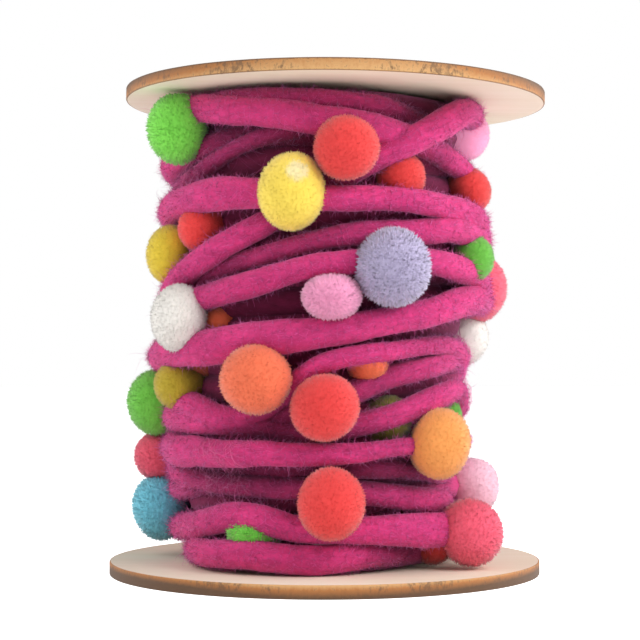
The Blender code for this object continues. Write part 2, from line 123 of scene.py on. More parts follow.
# Turns of the cord in the order in which it is wound. Each row crosses the front of the roll:
# heights of its middle line above the origin, its distance from the axis and half its thickness,
# in millimetres.
HEIGHT_STATIONS = (-90, -60, -30, 0, 30, 60, 90)
RADIUS_STATIONS = (-90, -45, -20, 0, 45, 90)
TURNS = (
    # name, heights at HEIGHT_STATIONS, radii and half thicknesses at RADIUS_STATIONS
    ("lowest turn", (6.6, 6.5, 7.4, 6.4, 7.0, 8.0, 8.0),
     (28.0, 35.6, 35.6, 34.0, 27.6, 27.0), (3.3, 3.5, 3.3, 3.1, 2.9, 2.9)),
    ("low wave", (10.5, 12.2, 15.1, 12.6, 12.0, 11.3, 10.0),
     (32.6, 34.2, 34.8, 34.6, 34.0, 32.0), (3.1, 3.1, 3.1, 3.1, 3.7, 3.1)),
    ("low inner arch", (19.0, 21.5, 24.8, 26.0, 25.2, 22.6, 19.0),
     (33.4, 29.6, 30.2, 31.2, 31.0, 26.5), (2.8, 2.8, 2.7, 2.6, 2.2, 2.6)),
    ("low inner fall", (24.0, 22.8, 21.6, 21.3, 19.2, 17.5, 15.5),
     (34.0, 31.8, 31.8, 32.4, 31.5, 26.5), (3.0, 2.7, 2.6, 2.5, 2.7, 2.7)),
    ("straight turn", (29.2, 28.9, 29.0, 29.3, 30.7, 31.0, 30.0),
     (35.0, 36.0, 36.2, 36.5, 36.0, 30.6), (3.3, 3.4, 3.0, 2.7, 2.4, 3.0)),
    ("inner rise", (35.5, 35.0, 34.0, 40.0, 45.8, 48.8, 46.5),
     (33.5, 32.5, 30.6, 32.0, 33.5, 30.0), (3.0, 2.8, 2.8, 2.7, 2.4, 3.0)),
    ("right loop", (36.4, 35.8, 34.8, 33.6, 38.0, 42.6, 38.5),
     (34.5, 34.2, 30.8, 32.6, 35.0, 30.4), (3.0, 2.7, 2.7, 2.7, 2.6, 3.2)),
    ("left knuckle", (39.6, 38.8, 36.8, 48.4, 51.5, 52.0, 49.5),
     (34.0, 34.0, 31.6, 36.2, 33.6, 30.4), (3.0, 3.2, 2.7, 2.3, 2.4, 3.2)),
    ("thick diagonal", (50.0, 51.6, 53.2, 55.1, 58.2, 62.4, 63.0),
     (37.4, 36.2, 36.1, 36.2, 36.0, 36.3), (3.4, 3.7, 3.6, 3.4, 3.2, 3.3)),
    ("middle rise", (58.0, 61.9, 65.2, 69.2, 71.0, 69.6, 66.0),
     (35.0, 35.8, 36.0, 36.0, 35.6, 36.0), (3.0, 3.0, 3.1, 3.1, 3.2, 3.0)),
    ("middle inner rise", (64.0, 66.5, 71.0, 75.0, 77.2, 78.2, 76.0),
     (33.0, 32.8, 33.5, 34.2, 35.6, 35.0), (2.4, 2.2, 2.3, 2.5, 2.8, 3.0)),
    ("long diagonal", (60.0, 68.0, 76.4, 86.3, 96.2, 104.4, 106.0),
     (36.0, 36.5, 33.7, 32.0, 36.8, 33.9), (3.0, 2.6, 2.6, 2.7, 3.4, 3.2)),
    ("top inner turn", (104.5, 105.5, 105.9, 105.5, 103.6, 99.8, 96.0),
     (33.0, 33.2, 33.7, 33.6, 30.0, 26.0), (2.8, 2.8, 2.7, 2.6, 2.6, 2.8)),
    ("top fall", (105.8, 105.8, 103.6, 100.3, 98.3, 94.0, 89.0),
     (35.2, 35.4, 35.8, 35.8, 33.2, 34.8), (3.1, 3.3, 3.2, 3.1, 2.8, 2.8)),
    ("dark inner rise", (88.0, 90.6, 96.6, 100.5, 102.0, 100.0, 97.0),
     (33.0, 33.2, 32.5, 31.5, 28.0, 25.0), (2.4, 1.9, 2.0, 2.2, 2.6, 2.6)),
    ("dark inner turn", (95.0, 97.2, 99.4, 98.0, 95.5, 94.0, 92.0),
     (34.5, 31.0, 30.0, 29.5, 29.5, 30.0), (3.0, 2.3, 2.3, 2.4, 2.6, 2.6)),
    ("upper turn", (83.0, 85.2, 85.6, 83.6, 83.7, 82.2, 78.5),
     (35.8, 36.2, 36.1, 36.0, 36.0, 36.0), (3.0, 3.3, 3.0, 2.8, 2.8, 3.2)),
)

# Grid of the skin over the winding
SKIN_STEP = 3
SKIN_ROWS = 108
SKIN_SPREAD = 6
SKIN_SMOOTHING = 4

# Patches of long loose fibres; their lengths and how far they lift off the felt are in millimetres
WISP_RADIUS = 38 * MM
WISP_STEPS = 7
WISP_THICKNESS = 0.032 * MM
WISP_TAPER = 0.6
WISP_LENGTHS = (2.5, 7.0)
WISP_LIFTS = (0.05, 0.5)
WISP_HEADING_SPREAD = 0.5
WISP_BEND_SPREAD = 0.8
WISP_DISC_GAP = 1 * MM
WISP_SMOOTHING = 3
WISP_PATCHES = (
    # lowest and highest angle in degrees, lowest and highest start in millimetres, fibres
    (-97, -84, 29, 37, 120),
    (-88, -60, 60, 95, 50),
    (62, 92, 42, 60, 90),
    (-45, 60, 84, 108, 80),
    (-40, 60, 8, 100, 160),
    (90, 270, 8, 106, 320),
)
WORN_PATCHES = (
    (-50, -30, 20, 32, 130),
    (-68, -44, 8, 18, 30),
    (-62, -44, 91, 97, 25),
)

POMPOMS = (
    # colour, angle round the roll in degrees, then in millimetres: height, distance from the axis,
    # half width, half height
    ("green", -59.2, 101.2, 38.3, 7.0, 8.1),
    ("red", 6.5, 94.3, 40.0, 7.4, 7.2),
    ("yellow", -10.2, 85.1, 38.8, 7.5, 8.7),
    ("red", 31, 89.2, 32.5, 5.8, 6.0),
    ("red", 71, 87.8, 34.6, 5.6, 5.8),
    ("pale_pink", 92, 102.2, 33.0, 6.2, 6.2),
    ("red", -54, 78.8, 33.2, 6.0, 5.9),
    ("mustard", -71, 73.3, 37.0, 5.9, 7.1),
    ("lavender", 21.7, 69.0, 39.5, 8.5, 8.9),
    ("green", 66, 72.3, 36.5, 5.3, 5.7),
    ("coral", 102, 66.5, 36.6, 8.3, 8.7),
    ("pink", 2.4, 62.6, 38.0, 6.7, 5.2),
    ("white", -54.6, 58.6, 39.5, 6.5, 7.8),
    ("orange", -50, 57.6, 30.0, 4.6, 4.5),
    ("white", 106, 54.6, 34.3, 6.6, 7.0),
    ("orange", -21.6, 45.1, 39.5, 7.8, 7.8),
    ("red", 0.3, 39.1, 39.5, 7.6, 7.4),
    ("orange", 17.0, 48.3, 32.5, 4.8, 4.4),
    ("olive", 26, 36.0, 30.5, 6.0, 6.0),
    ("green", -92.8, 39.5, 39.2, 7.6, 8.0),
    ("mustard", -69.0, 43.6, 35.0, 6.5, 5.9),
    ("coral", -96, 26.7, 39.2, 6.2, 6.0),
    ("teal", -95.3, 14.7, 38.7, 7.2, 8.2),
    ("amber", 40.1, 31.0, 38.9, 7.2, 8.1),
    ("green", 60, 36.4, 30.0, 5.3, 5.4),
    ("red", 2.2, 18.7, 39.5, 7.5, 8.0),
    ("pale_pink", 89, 19.8, 34.5, 7.0, 7.0),
    ("coral", 55.6, 11.1, 39.4, 7.5, 7.8),
    ("green", -28, 11.8, 31.5, 6.7, 6.0),
    ("red", 50, 8.7, 31.0, 5.4, 5.1),
    ("orange", -65, 49.4, 30.2, 5.3, 4.3),
    ("yellow", 134, 96.0, 38.5, 7.2, 7.4),
    ("orange", 170, 100.6, 38.8, 7.4, 7.2),
    ("lavender", 205, 91.0, 39.0, 7.6, 7.6),
    ("teal", 227, 99.0, 38.2, 7.0, 7.0),
    ("white", 148, 77.0, 39.0, 7.3, 7.3),
    ("red", 184, 74.5, 39.4, 7.4, 7.6),
    ("pink", 221, 70.5, 39.0, 7.0, 7.2),
    ("coral", 231, 83.5, 38.6, 7.0, 7.0),
    ("amber", 138, 57.5, 38.6, 7.2, 7.0),
    ("teal", 168, 52.5, 39.2, 7.2, 7.4),
    ("green", 203, 49.5, 39.4, 7.4, 7.4),
    ("red", 236, 52.0, 38.8, 7.4, 7.2),
    ("lavender", 139, 38.8, 38.0, 6.8, 6.8),
    ("mustard", 152, 29.5, 38.6, 7.2, 7.2),
    ("pink", 185, 25.5, 39.2, 7.0, 7.4),
    ("orange", 219, 29.0, 38.8, 7.4, 7.4),
    ("red", 136, 12.0, 38.5, 7.2, 7.2),
    ("white", 171, 11.4, 38.6, 7.2, 7.2),
    ("yellow", 213, 11.6, 38.6, 7.0, 7.2),
)

# Pompoms whose pile differs from the usual
SHAGGY = {
    # pompom: times the usual pile, painted root shade, factor on the colour (partly its own tone,
    # partly painted light above 1 and painted shade below 1), painted shade deep in the gaps
    1: (1.5, 0.18, 1.60, 0.4),
    3: (1.0, 0.06, 1.07, 0.3),
    4: (1.0, 0.10, 1.0, 0.3),
    6: (1.0, 0.10, 1.0, 0.0),
    7: (1.0, 0.10, 1.2, 0.3),
    8: (1.0, 0.10, 1.15, 0.4),
    9: (1.9, 0.55, 0.98, 0.5),
    12: (1.5, 0.15, 1.0, 0.4),
    13: (1.0, 0.04, 1.08, 0.2),
    14: (1.0, 0.10, 1.7, 0.2),
    15: (1.0, 0.10, 1.1, 0.0),
    18: (1.0, 0.10, 1.1, 0.2),
    19: (1.5, 0.40, 0.8, 0.6),
    20: (1.3, 0.20, 1.2, 0.4),
    21: (1.0, 0.10, 0.75, 0.5),
    22: (1.4, 0.20, 1.15, 0.1),
    23: (1.9, 0.22, 1.45, 0.2),
    27: (1.0, 0.10, 1.05, 0.0),
    28: (1.3, 0.12, 1.12, 0.3),
    29: (2.0, 0.35, 1.7, 0.4),
    30: (1.0, 0.10, 0.8, 0.6),
    31: (1.0, 0.20, 0.9, 0.5),
}
USUAL_PILE = (1.0, 0.10, 1.0, 0.6)

# Pompoms with painted light: they glow in the colour of their wool, in place of light shining through it
PAINTED_GLOW = {
    # pompom: colour of its wool, strength of its painted glow
    6: ("pink", 0.30),
    12: ("pink", 0.08),
}

# Pompoms with a pale patch
PALE_PATCHES = {
    # pompom: angle round the roll, lift above the pompom's middle and half width, in degrees
    3: (13, 32, 24),
}

# Stage: softboxes that all point at the middle of the roll
SOFTBOX_AIM = (0.0, 0.0, 0.055)
SOFTBOXES = (
    # name, place, width, setting that holds its power, times that power
    ("key_softbox", (0.50, -0.39, 0.50), 0.45, "key_power", 1.0),
    ("fill_softbox", (-0.47, -0.39, 0.52), 0.50, "fill_power", 1.0),
    ("left_edge_softbox", (-0.50, 0.14, 0.15), 0.40, "edge_power", 1.4),
    ("right_edge_softbox", (0.50, 0.16, 0.15), 0.40, "edge_power", 2.2),
)
CAMERA_PLACE = (0.0, -0.3999, 0.0485)
CAMERA_TURNS = (0.02549, 0.001443, 0.002405)
CAMERA_LENS = 95.68
CAMERA_CLIP = 0.01


# Settings


def length_property(name, description, value, low, high):
    """A length, given in millimetres."""
    return FloatProperty(
        name=name, description=description, default=value * MM, min=low * MM, max=high * MM,
        subtype="DISTANCE", unit="LENGTH")


def count_property(name, description, value, low, high):
    return IntProperty(name=name, description=description, default=value, min=low, max=high)


def power_property(name, description, value):
    return FloatProperty(
        name=name, description=description, default=value, min=0.0, max=50.0, unit="POWER")


def strength_property(name, description, value):
    return FloatProperty(name=name, description=description, default=value, min=0.0, max=3.0)


def colour_property(name, value):
    return FloatVectorProperty(
        name=name, description=name + ", in linear red, green and blue", subtype="COLOR", size=3,
        default=value, min=0.0, max=1.0)


class CordSettings(bpy.types.PropertyGroup):
    radius: length_property("Radius", "Radius of the felted cord", 3.1, 1, 6)
    lumps: length_property("Lumps", "How far the felt swells and thins", 0.2, 0, 1)
    nap_count: count_property("Nap", "Number of short fibres that lie on the felt", 170000, 0, 200000)
    nap_length: length_property("Nap length", "Length of a short fibre", 1.2, 0.2, 5)
    fuzz_count: count_property("Fuzz", "Number of long fibres that stand off the felt", 8000, 0, 20000)
    fuzz_length: length_property("Fuzz length", "Length of a long fibre", 2.3, 0.2, 5)
    colour: colour_property("Felt colour", (0.65, 0.042, 0.197))
    deep_colour: colour_property("Deep felt colour", (0.53, 0.034, 0.165))
    fibre_colour: colour_property("Fibre colour", (0.78, 0.095, 0.35))
    wisp_colour: colour_property("Worn fibre colour", (0.84, 0.24, 0.46))


class PompomSettings(bpy.types.PropertyGroup):
    strands: count_property("Strands", "Strands of pile on a whole pompom", 2400, 100, 6000)
    pile: length_property("Pile", "How far the strands stand out of the ball", 0.5, 0.2, 3)
    strand_radius: length_property("Strand radius", "Radius of a strand at its root", 0.25, 0.05, 1)
    stray_share: FloatProperty(
        name="Strays", description="Share of the strands that are thin and stand out further",
        default=0.16, min=0.0, max=1.0, subtype="FACTOR")
    red: colour_property("Red", (0.86, 0.066, 0.064))
    coral: colour_property("Coral", (0.87, 0.12, 0.195))
    orange: colour_property("Orange", (0.94, 0.195, 0.09))
    amber: colour_property("Amber", (0.96, 0.385, 0.105))
    yellow: colour_property("Yellow", (0.92, 0.70, 0.105))
    mustard: colour_property("Mustard", (0.80, 0.60, 0.055))
    olive: colour_property("Olive", (0.40, 0.33, 0.045))
    green: colour_property("Green", (0.175, 0.56, 0.072))
    teal: colour_property("Teal", (0.17, 0.52, 0.64))
    lavender: colour_property("Lavender", (0.74, 0.66, 0.95))
    pink: colour_property("Pink", (0.99, 0.40, 0.63))
    pale_pink: colour_property("Pale pink", (0.98, 0.60, 0.72))
    white: colour_property("White", (0.83, 0.80, 0.75))


class DiscSettings(bpy.types.PropertyGroup):
    face_colour: colour_property("Plywood face", (0.83, 0.75, 0.62))
    grain_colour: colour_property("Plywood grain", (0.79, 0.70, 0.545))
    rim_light_colour: colour_property("Cut edge where the beam went in", (0.67, 0.385, 0.165))
    rim_middle_colour: colour_property("Middle of the cut edge", (0.43, 0.175, 0.055))
    rim_dark_colour: colour_property("Cut edge where the beam came out", (0.13, 0.072, 0.040))
    burnt_colour: colour_property("Burnt line", (0.14, 0.078, 0.045))


class StageSettings(bpy.types.PropertyGroup):
    floor_size: length_property("Floor size", "Width of the floor", 6000, 500, 20000)
    key_power: power_property("Key light", "Power of the softbox in front", 4.0)
    fill_power: power_property("Fill light", "Power of the softbox on the other side", 1.75)
    edge_power: power_property("Edge lights", "Power of the softboxes beside and behind", 0.8)
    room_light: strength_property("Room light", "Strength of the even light all round", 0.31)
    floor_glow: strength_property("Floor glow", "Light that the floor gives to what stands on it", 0.31)


class TrimRollSettings(bpy.types.PropertyGroup):
    cord: PointerProperty(name="Cord", description="Felted cord", type=CordSettings)
    pompoms: PointerProperty(name="Pompoms", description="Wool pompoms", type=PompomSettings)
    discs: PointerProperty(name="Discs", description="Plywood discs", type=DiscSettings)
    stage: PointerProperty(name="Stage", description="Floor, lights and camera", type=StageSettings)


def settings():
    return bpy.context.scene.trim_roll


# Shader groups

WHITE = (1.0, 1.0, 1.0, 1.0)
SOCKET_KINDS = {1: "NodeSocketFloat", 3: "NodeSocketVector", 4: "NodeSocketColor"}
SURFACE = {"Colour": "NodeSocketColor", "Height": "NodeSocketFloat"}

# Values between which a mark fades in, from none to full
MOTTLE_RISE = (0.38, 0.62)
LIGHT_SPECK_RISE = (0.66, 0.78)
DARK_SPECK_RISE = (0.30, 0.20)
GRAIN_RISE = (0.3, 0.7)
BROWN_RISE = (0.1, 0.65)
LIGHT_WOOD_RISE = (0.65, 1.0)
SOOT_RISE = (0.99, 1.15)

WISP_CONTRAST = 2.0
MOTTLE_HEIGHT = 1.5
SPECK_SCALE = 1500.0
SPECK_COLOUR = (0.12, 0.01, 0.05, 1.0)
FELT_STRETCH = (0.6, 1.0, 1.0)
BROAD_GRAIN_SCALE = 30.0
BROAD_GRAIN_SPREAD = 0.6
STREAK_LENGTH = 3.0 * MM
STREAK_SCALE = 700.0
STREAK_SPREAD = 0.45
DRIFT_SCALE = 45.0
DRIFT_SPREAD = 0.4
# Painted shade on the cut edge towards the sides: its strength at the dark side of the edge and how much
# it falls towards the light side
SIDE_SHADE_BASE = 1.2
SIDE_SHADE_FALL = 0.8
OUTER_LINE_STRENGTH = 0.75
INNER_LINE_THINNESS = 1.6
LINE_RAGGEDNESS = 0.25


class NodeMaker:
    """Adds nodes to a shader tree. An input takes a plain value or the output of another node."""

    def __init__(self, tree):
        self.tree = tree

    def feed(self, socket, value):
        if isinstance(value, bpy.types.NodeSocket):
            self.tree.links.new(value, socket)
        elif socket.type == "RGBA":
            socket.default_value = (*value[:3], 1.0)
        else:
            socket.default_value = value

    def add(self, kind, inputs=None, **choices):
        node = self.tree.nodes.new("ShaderNode" + kind)
        for name, value in choices.items():
            setattr(node, name, value)
        for label, value in (inputs or {}).items():
            self.feed(node.inputs[label], value)
        return node

    def math(self, operation, first, second):
        return self.add("Math", {0: first, 1: second}, operation=operation).outputs[0]

    def plus(self, first, second):
        return self.math("ADD", first, second)

    def minus(self, first, second):
        return self.math("SUBTRACT", first, second)

    def times(self, first, second):
        return self.math("MULTIPLY", first, second)

    def swing(self, noise, spread):
        """A noise moved to lie evenly about 0, times its spread."""
        return self.times(self.minus(noise, 0.5), spread)

    def rise(self, value, ends):
        inputs = {"Value": value, "From Min": ends[0], "From Max": ends[1]}
        return self.add("MapRange", inputs).outputs["Result"]

    def mix(self, factor, first, second):
        return self.add("Mix", {0: factor, 6: first, 7: second}, data_type="RGBA").outputs[2]

    def scaled(self, colour, level):
        return self.add("VectorMath", {0: colour, "Scale": level}, operation="SCALE").outputs[0]

    def noise(self, vector, scale, detail, roughness=0.5):
        inputs = {"Vector": vector, "Scale": scale, "Detail": detail, "Roughness": roughness}
        return self.add("TexNoise", inputs).outputs["Fac"]

    def attribute(self, name, output):
        return self.add("Attribute", attribute_name=name).outputs[output]

    def group(self, build, values):
        return self.add("Group", values, node_tree=shared_group(build)).outputs


def shared_group(build):
    """The shader group that a function builds and names after itself, made once."""
    return bpy.data.node_groups.get(build.__name__) or build()


def new_group(name, inputs, outputs):
    """A shader group with named sockets: a maker for its nodes, its inputs and its outputs."""
    tree = bpy.data.node_groups.new(name, "ShaderNodeTree")
    for label, value in inputs.items():
        kind = SOCKET_KINDS[np.size(value)]
        tree.interface.new_socket(label, in_out="INPUT", socket_type=kind).default_value = value
    for label, kind in outputs.items():
        tree.interface.new_socket(label, in_out="OUTPUT", socket_type=kind)
    inside, outside = (tree.nodes.new("NodeGroup" + side) for side in ("Input", "Output"))
    return NodeMaker(tree), inside.outputs, outside.inputs


def hollow_shade():
    """Painted shade: level that falls with the depth under the outer turns, darker deep in a gap."""
    make, inside, outside = new_group(
        "hollow_shade", {"Shallow": 0.5 * MM, "Deep": 6.4 * MM, "Amount": 0.5},
        {"Level": "NodeSocketFloat"})
    depth = make.attribute("depth", "Fac")
    span = {"Value": depth, "From Min": inside["Shallow"], "From Max": inside["Deep"]}
    share = make.add("MapRange", span, interpolation_type="SMOOTHSTEP").outputs["Result"]
    make.feed(outside["Level"], make.minus(1.0, make.times(share, inside["Amount"])))
    return make.tree


def wool_pile():
    """Wool pile: strands with painted shade at the root and deep in gaps, varying one to the next."""
    make, inside, outside = new_group(
        "wool_pile", {
            "Colour": (0.8, 0.1, 0.1, 1), "Pale Colour": (0.92, 0.84, 0.56, 1), "Root Shade": 0.15,
            "Strand Spread": 0.2, "Patch Scale": 300.0, "Patch Spread": 0.2, "Hollow Amount": 0.5},
        SURFACE)
    place = make.add("TexCoord").outputs["Object"]
    chance, rise, full = make.add("SeparateColor", {0: make.attribute("strand", "Color")}).outputs
    patch = make.noise(place, inside["Patch Scale"], detail=3.0)
    # Painted shade towards the root of each strand, where the pile shades itself
    level = make.times(make.minus(rise, 1.0), inside["Root Shade"])
    for noise, label in ((chance, "Strand Spread"), (patch, "Patch Spread")):
        level = make.plus(level, make.swing(noise, inside[label]))
    # Painted shade deep in the gaps between turns, as where shadow falls
    hollow = make.group(hollow_shade, {"Amount": inside["Hollow Amount"]})["Level"]
    coloured = make.mix(full, inside["Pale Colour"], inside["Colour"])
    make.feed(outside["Colour"], make.scaled(coloured, make.times(make.plus(level, 1.0), hollow)))
    make.feed(outside["Height"], patch)
    return make.tree


def felted_wool():
    """Felted wool: soft mottling, fine wisps that lie along the cord, a few light and dark specks,
    and painted shade deep in the gaps between turns.
    """
    make, inside, outside = new_group(
        "felted_wool", {
            "Colour": (0.6, 0.04, 0.18, 1), "Deep Colour": (0.4, 0.03, 0.16, 1),
            "Fibre Colour": (0.9, 0.3, 0.5, 1), "Mottle Scale": 150.0, "Wisp Scale": 650.0,
            "Wisp Spread": 0.55, "Speck Amount": 0.6, "Hollow Amount": 0.85},
        SURFACE)
    lie = {"Vector": make.attribute("cord_lie", "Vector"), "Scale": FELT_STRETCH}
    place = make.add("Mapping", lie).outputs[0]
    mottle = make.noise(place, inside["Mottle Scale"], detail=3.0, roughness=0.6)
    wisp = make.noise(place, inside["Wisp Scale"], detail=4.0, roughness=0.6)
    colour = make.mix(make.rise(mottle, MOTTLE_RISE), inside["Deep Colour"], inside["Colour"])
    level = make.plus(1.0, make.times(make.swing(wisp, WISP_CONTRAST), inside["Wisp Spread"]))
    colour = make.scaled(colour, level)
    speck = make.noise(place, SPECK_SCALE, detail=1.0)
    for ends, tint in ((LIGHT_SPECK_RISE, inside["Fibre Colour"]), (DARK_SPECK_RISE, SPECK_COLOUR)):
        colour = make.mix(make.times(make.rise(speck, ends), inside["Speck Amount"]), colour, tint)
    # Painted shade deep in the gaps between turns, as where shadow falls
    hollow = make.group(hollow_shade, {"Amount": inside["Hollow Amount"]})["Level"]
    make.feed(outside["Colour"], make.scaled(colour, hollow))
    make.feed(outside["Height"], make.plus(wisp, make.times(mottle, MOTTLE_HEIGHT)))
    return make.tree


def birch_grain():
    """Birch veneer: long pale grain with short darker flecks along it."""
    make, inside, outside = new_group(
        "birch_grain", {
            "Light Colour": (0.8, 0.6, 0.45, 1), "Dark Colour": (0.6, 0.45, 0.3, 1),
            "Grain Scale": 260.0, "Stretch": (0.06, 1.0, 1.0)},
        SURFACE)
    place = make.add("TexCoord").outputs["Object"]
    lie = make.add("VectorMath", {0: place, 1: inside["Stretch"]}, operation="MULTIPLY").outputs[0]
    grain = make.noise(lie, inside["Grain Scale"], detail=5.0, roughness=0.6)
    broad = make.noise(place, BROAD_GRAIN_SCALE, detail=2.0)
    dark = make.rise(make.plus(grain, make.swing(broad, BROAD_GRAIN_SPREAD)), GRAIN_RISE)
    make.feed(outside["Colour"], make.mix(dark, inside["Light Colour"], inside["Dark Colour"]))
    make.feed(outside["Height"], grain)
    return make.tree


def laser_cut_edge():
    """Laser-cut plywood edge: light where the beam went in, brown where it came out, burnt lines
    along the corners, short soot streaks across it, and painted shade towards the sides of the roll."""
    make, inside, outside = new_group(
        "laser_cut_edge", {
            "Light Colour": (0.64, 0.35, 0.17, 1), "Middle Colour": (0.43, 0.17, 0.055, 1),
            "Dark Colour": (0.135, 0.074, 0.042, 1), "Burnt Colour": (0.12, 0.065, 0.035, 1),
            "Warm Start": 0.0, "Warm Rise": 1.0, "Line Width": 0.11, "Inner Line": 0.3,
            "Soot Amount": 0.75},
        SURFACE)
    around, share, side_shade = make.add("SeparateXYZ", {0: make.attribute("edge_place", "Vector")}).outputs
    place = make.add("CombineXYZ", {0: around, 1: make.times(share, STREAK_LENGTH)}).outputs[0]
    streak = make.noise(place, STREAK_SCALE, detail=4.0, roughness=0.6)
    drift = make.noise(place, DRIFT_SCALE, detail=3.0, roughness=0.6)
    warmth = make.plus(inside["Warm Start"], make.times(share, inside["Warm Rise"]))
    # Painted shade towards the sides of the roll, stronger at the dark side of the edge
    burnt = make.times(side_shade, make.minus(SIDE_SHADE_BASE, make.times(share, SIDE_SHADE_FALL)))
    warmth = make.plus(make.minus(warmth, burnt), make.swing(streak, STREAK_SPREAD))
    warmth = make.plus(warmth, make.swing(drift, DRIFT_SPREAD))
    colour = make.mix(make.rise(warmth, BROWN_RISE), inside["Dark Colour"], inside["Middle Colour"])
    colour = make.mix(make.rise(warmth, LIGHT_WOOD_RISE), colour, inside["Light Colour"])
    soot = make.times(make.rise(make.plus(streak, drift), SOOT_RISE), inside["Soot Amount"])
    colour = make.mix(soot, colour, inside["Burnt Colour"])
    ragged = make.swing(streak, LINE_RAGGEDNESS)
    inner = make.times(make.minus(1.0, share), INNER_LINE_THINNESS)
    for near, strength in ((share, OUTER_LINE_STRENGTH), (inner, inside["Inner Line"])):
        line = make.math("LESS_THAN", make.plus(near, ragged), inside["Line Width"])
        colour = make.mix(make.times(line, strength), colour, inside["Burnt Colour"])
    make.feed(outside["Colour"], colour)
    make.feed(outside["Height"], streak)
    return make.tree


# Materials

# Surfaces; a bump has a strength and a depth
FELT = {"roughness": 0.9, "sheen": 0.3, "sheen_tint": (1.0, 0.45, 0.8), "bump": (0.9, 0.3 * MM)}
FIBRES = {"roughness": 0.9, "sheen": 0.5, "sheen_tint": (1.0, 0.50, 0.95)}
PILE = {"roughness": 0.9, "sheen": 0.3}
WOOD_FACE = {"roughness": 0.6, "bump": (0.15, 0.1 * MM)}
WOOD_RIM = {"roughness": 0.65, "sheen": 0.08, "bump": (0.12, 0.08 * MM)}
FLOOR_ROUGHNESS = 0.9
FLOOR_COLOUR = (0.9, 0.9, 0.9)
SPECULAR = 0.2
SHEEN_ROUGHNESS = 0.5


def new_material(name, roughness, sheen=0.0, sheen_tint=WHITE):
    """A Principled material, a maker for its nodes and the inputs of its shader."""
    material = bpy.data.materials.new(name)
    material.use_nodes = True
    make = NodeMaker(material.node_tree)
    inputs = material.node_tree.nodes["Principled BSDF"].inputs
    for label, value in (
            ("Roughness", roughness), ("Specular IOR Level", SPECULAR), ("Sheen Weight", sheen),
            ("Sheen Roughness", SHEEN_ROUGHNESS), ("Sheen Tint", sheen_tint)):
        make.feed(inputs[label], value)
    return material, make, inputs


def group_material(name, build, values, bump=None, glow=0.0, **surface_values):
    """A material whose colour comes from a shared group, and so do its bump and its painted glow
    in that colour, if it has them."""
    material, make, inputs = new_material(name, **surface_values)
    surface = make.group(build, values)
    make.feed(inputs["Base Color"], surface["Colour"])
    if bump:
        relief = {"Strength": bump[0], "Distance": bump[1], "Height": surface["Height"]}
        make.feed(inputs["Normal"], make.add("Bump", relief).outputs[0])
    # Painted light: the wool glows in its own colour
    if glow:
        make.feed(inputs["Emission Color"], surface["Colour"])
        make.feed(inputs["Emission Strength"], glow)
    return material


def felt_material(name, hollow):
    cord = settings().cord
    values = {"Colour": cord.colour, "Deep Colour": cord.deep_colour, "Fibre Colour": cord.fibre_colour,
              "Hollow Amount": hollow}
    return group_material(name, felted_wool, values, **FELT)


def fibre_material(name, colour):
    # Painted shade towards the roots of the fibres and deep in the gaps
    values = {"Colour": colour, "Root Shade": 0.40, "Strand Spread": 0.45, "Patch Scale": 150.0,
              "Patch Spread": 0.5, "Hollow Amount": 0.70}
    return group_material(name, wool_pile, values, **FIBRES)


def pile_material(colour, root_shade, tone_and_painted_light, hollow, glow):
    amounts = "_".join(str(round(100 * amount)) for amount in (root_shade, tone_and_painted_light, hollow, glow))
    name = f"pile_{colour}_{amounts}"
    if name in bpy.data.materials:
        return bpy.data.materials[name]
    # Partly the pompom's own tone, partly painted light above 1 and painted shade below 1
    shade = [tone_and_painted_light * channel for channel in getattr(settings().pompoms, colour)]
    # Painted shade at the roots of the strands and deep in the gaps
    values = {"Colour": shade, "Root Shade": root_shade, "Strand Spread": 0.20, "Patch Scale": 330.0,
              "Patch Spread": 0.20, "Hollow Amount": hollow}
    return group_material(name, wool_pile, values, glow=glow, **PILE)


def face_material():
    discs = settings().discs
    values = {"Light Colour": discs.face_colour, "Dark Colour": discs.grain_colour}
    return group_material("plywood_face", birch_grain, values, **WOOD_FACE)


def rim_material(name, warm_start, warm_rise, inner_line):
    discs = settings().discs
    values = {
        "Light Colour": discs.rim_light_colour, "Middle Colour": discs.rim_middle_colour,
        "Dark Colour": discs.rim_dark_colour, "Burnt Colour": discs.burnt_colour,
        "Warm Start": warm_start, "Warm Rise": warm_rise, "Inner Line": inner_line}
    return group_material(name, laser_cut_edge, values, **WOOD_RIM)


# Meshes

LAYERS = {1: ("FLOAT", "value"), 3: ("FLOAT_VECTOR", "vector"), 4: ("FLOAT_COLOR", "color")}
THIRDS = (0, 2 * pi / 3, 4 * pi / 3)


def add_piece(name, points, faces, material):
    mesh = bpy.data.meshes.new(name)
    mesh.from_pydata(points, [], faces)
    mesh.update()
    mesh.shade_smooth()
    mesh.materials.append(material)
    piece = bpy.data.objects.new(name, mesh)
    bpy.context.collection.objects.link(piece)
    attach(piece, BODY)
    return piece


def store(piece, name, values):
    """Keep a number, a vector or a colour for each point of a piece."""
    kind, field = LAYERS[np.size(values) // len(piece.data.vertices)]
    layer = piece.data.attributes.new(name, kind, "POINT")
    layer.data.foreach_set(field, np.ascontiguousarray(values, dtype=np.float32).ravel())


def unit(vectors):
    return vectors / np.linalg.norm(vectors, axis=-1, keepdims=True)


def across(directions, random):
    """Two unit vectors square to each direction and to each other, turned at random."""
    side = unit(np.cross(directions, random.standard_normal(directions.shape)))
    return side, np.cross(directions, side)


def triangle_at(places, side, other, radius):
    """Three points round each place, radius away from it."""
    return [places + radius * (cos(turn) * side + sin(turn) * other) for turn in THIRDS]


def copies(pattern, count, size):
    """Faces of a number of like strands, from the faces of one and its number of points."""
    return (np.array(pattern)[None] + size * np.arange(count)[:, None, None]).reshape(-1, 3)


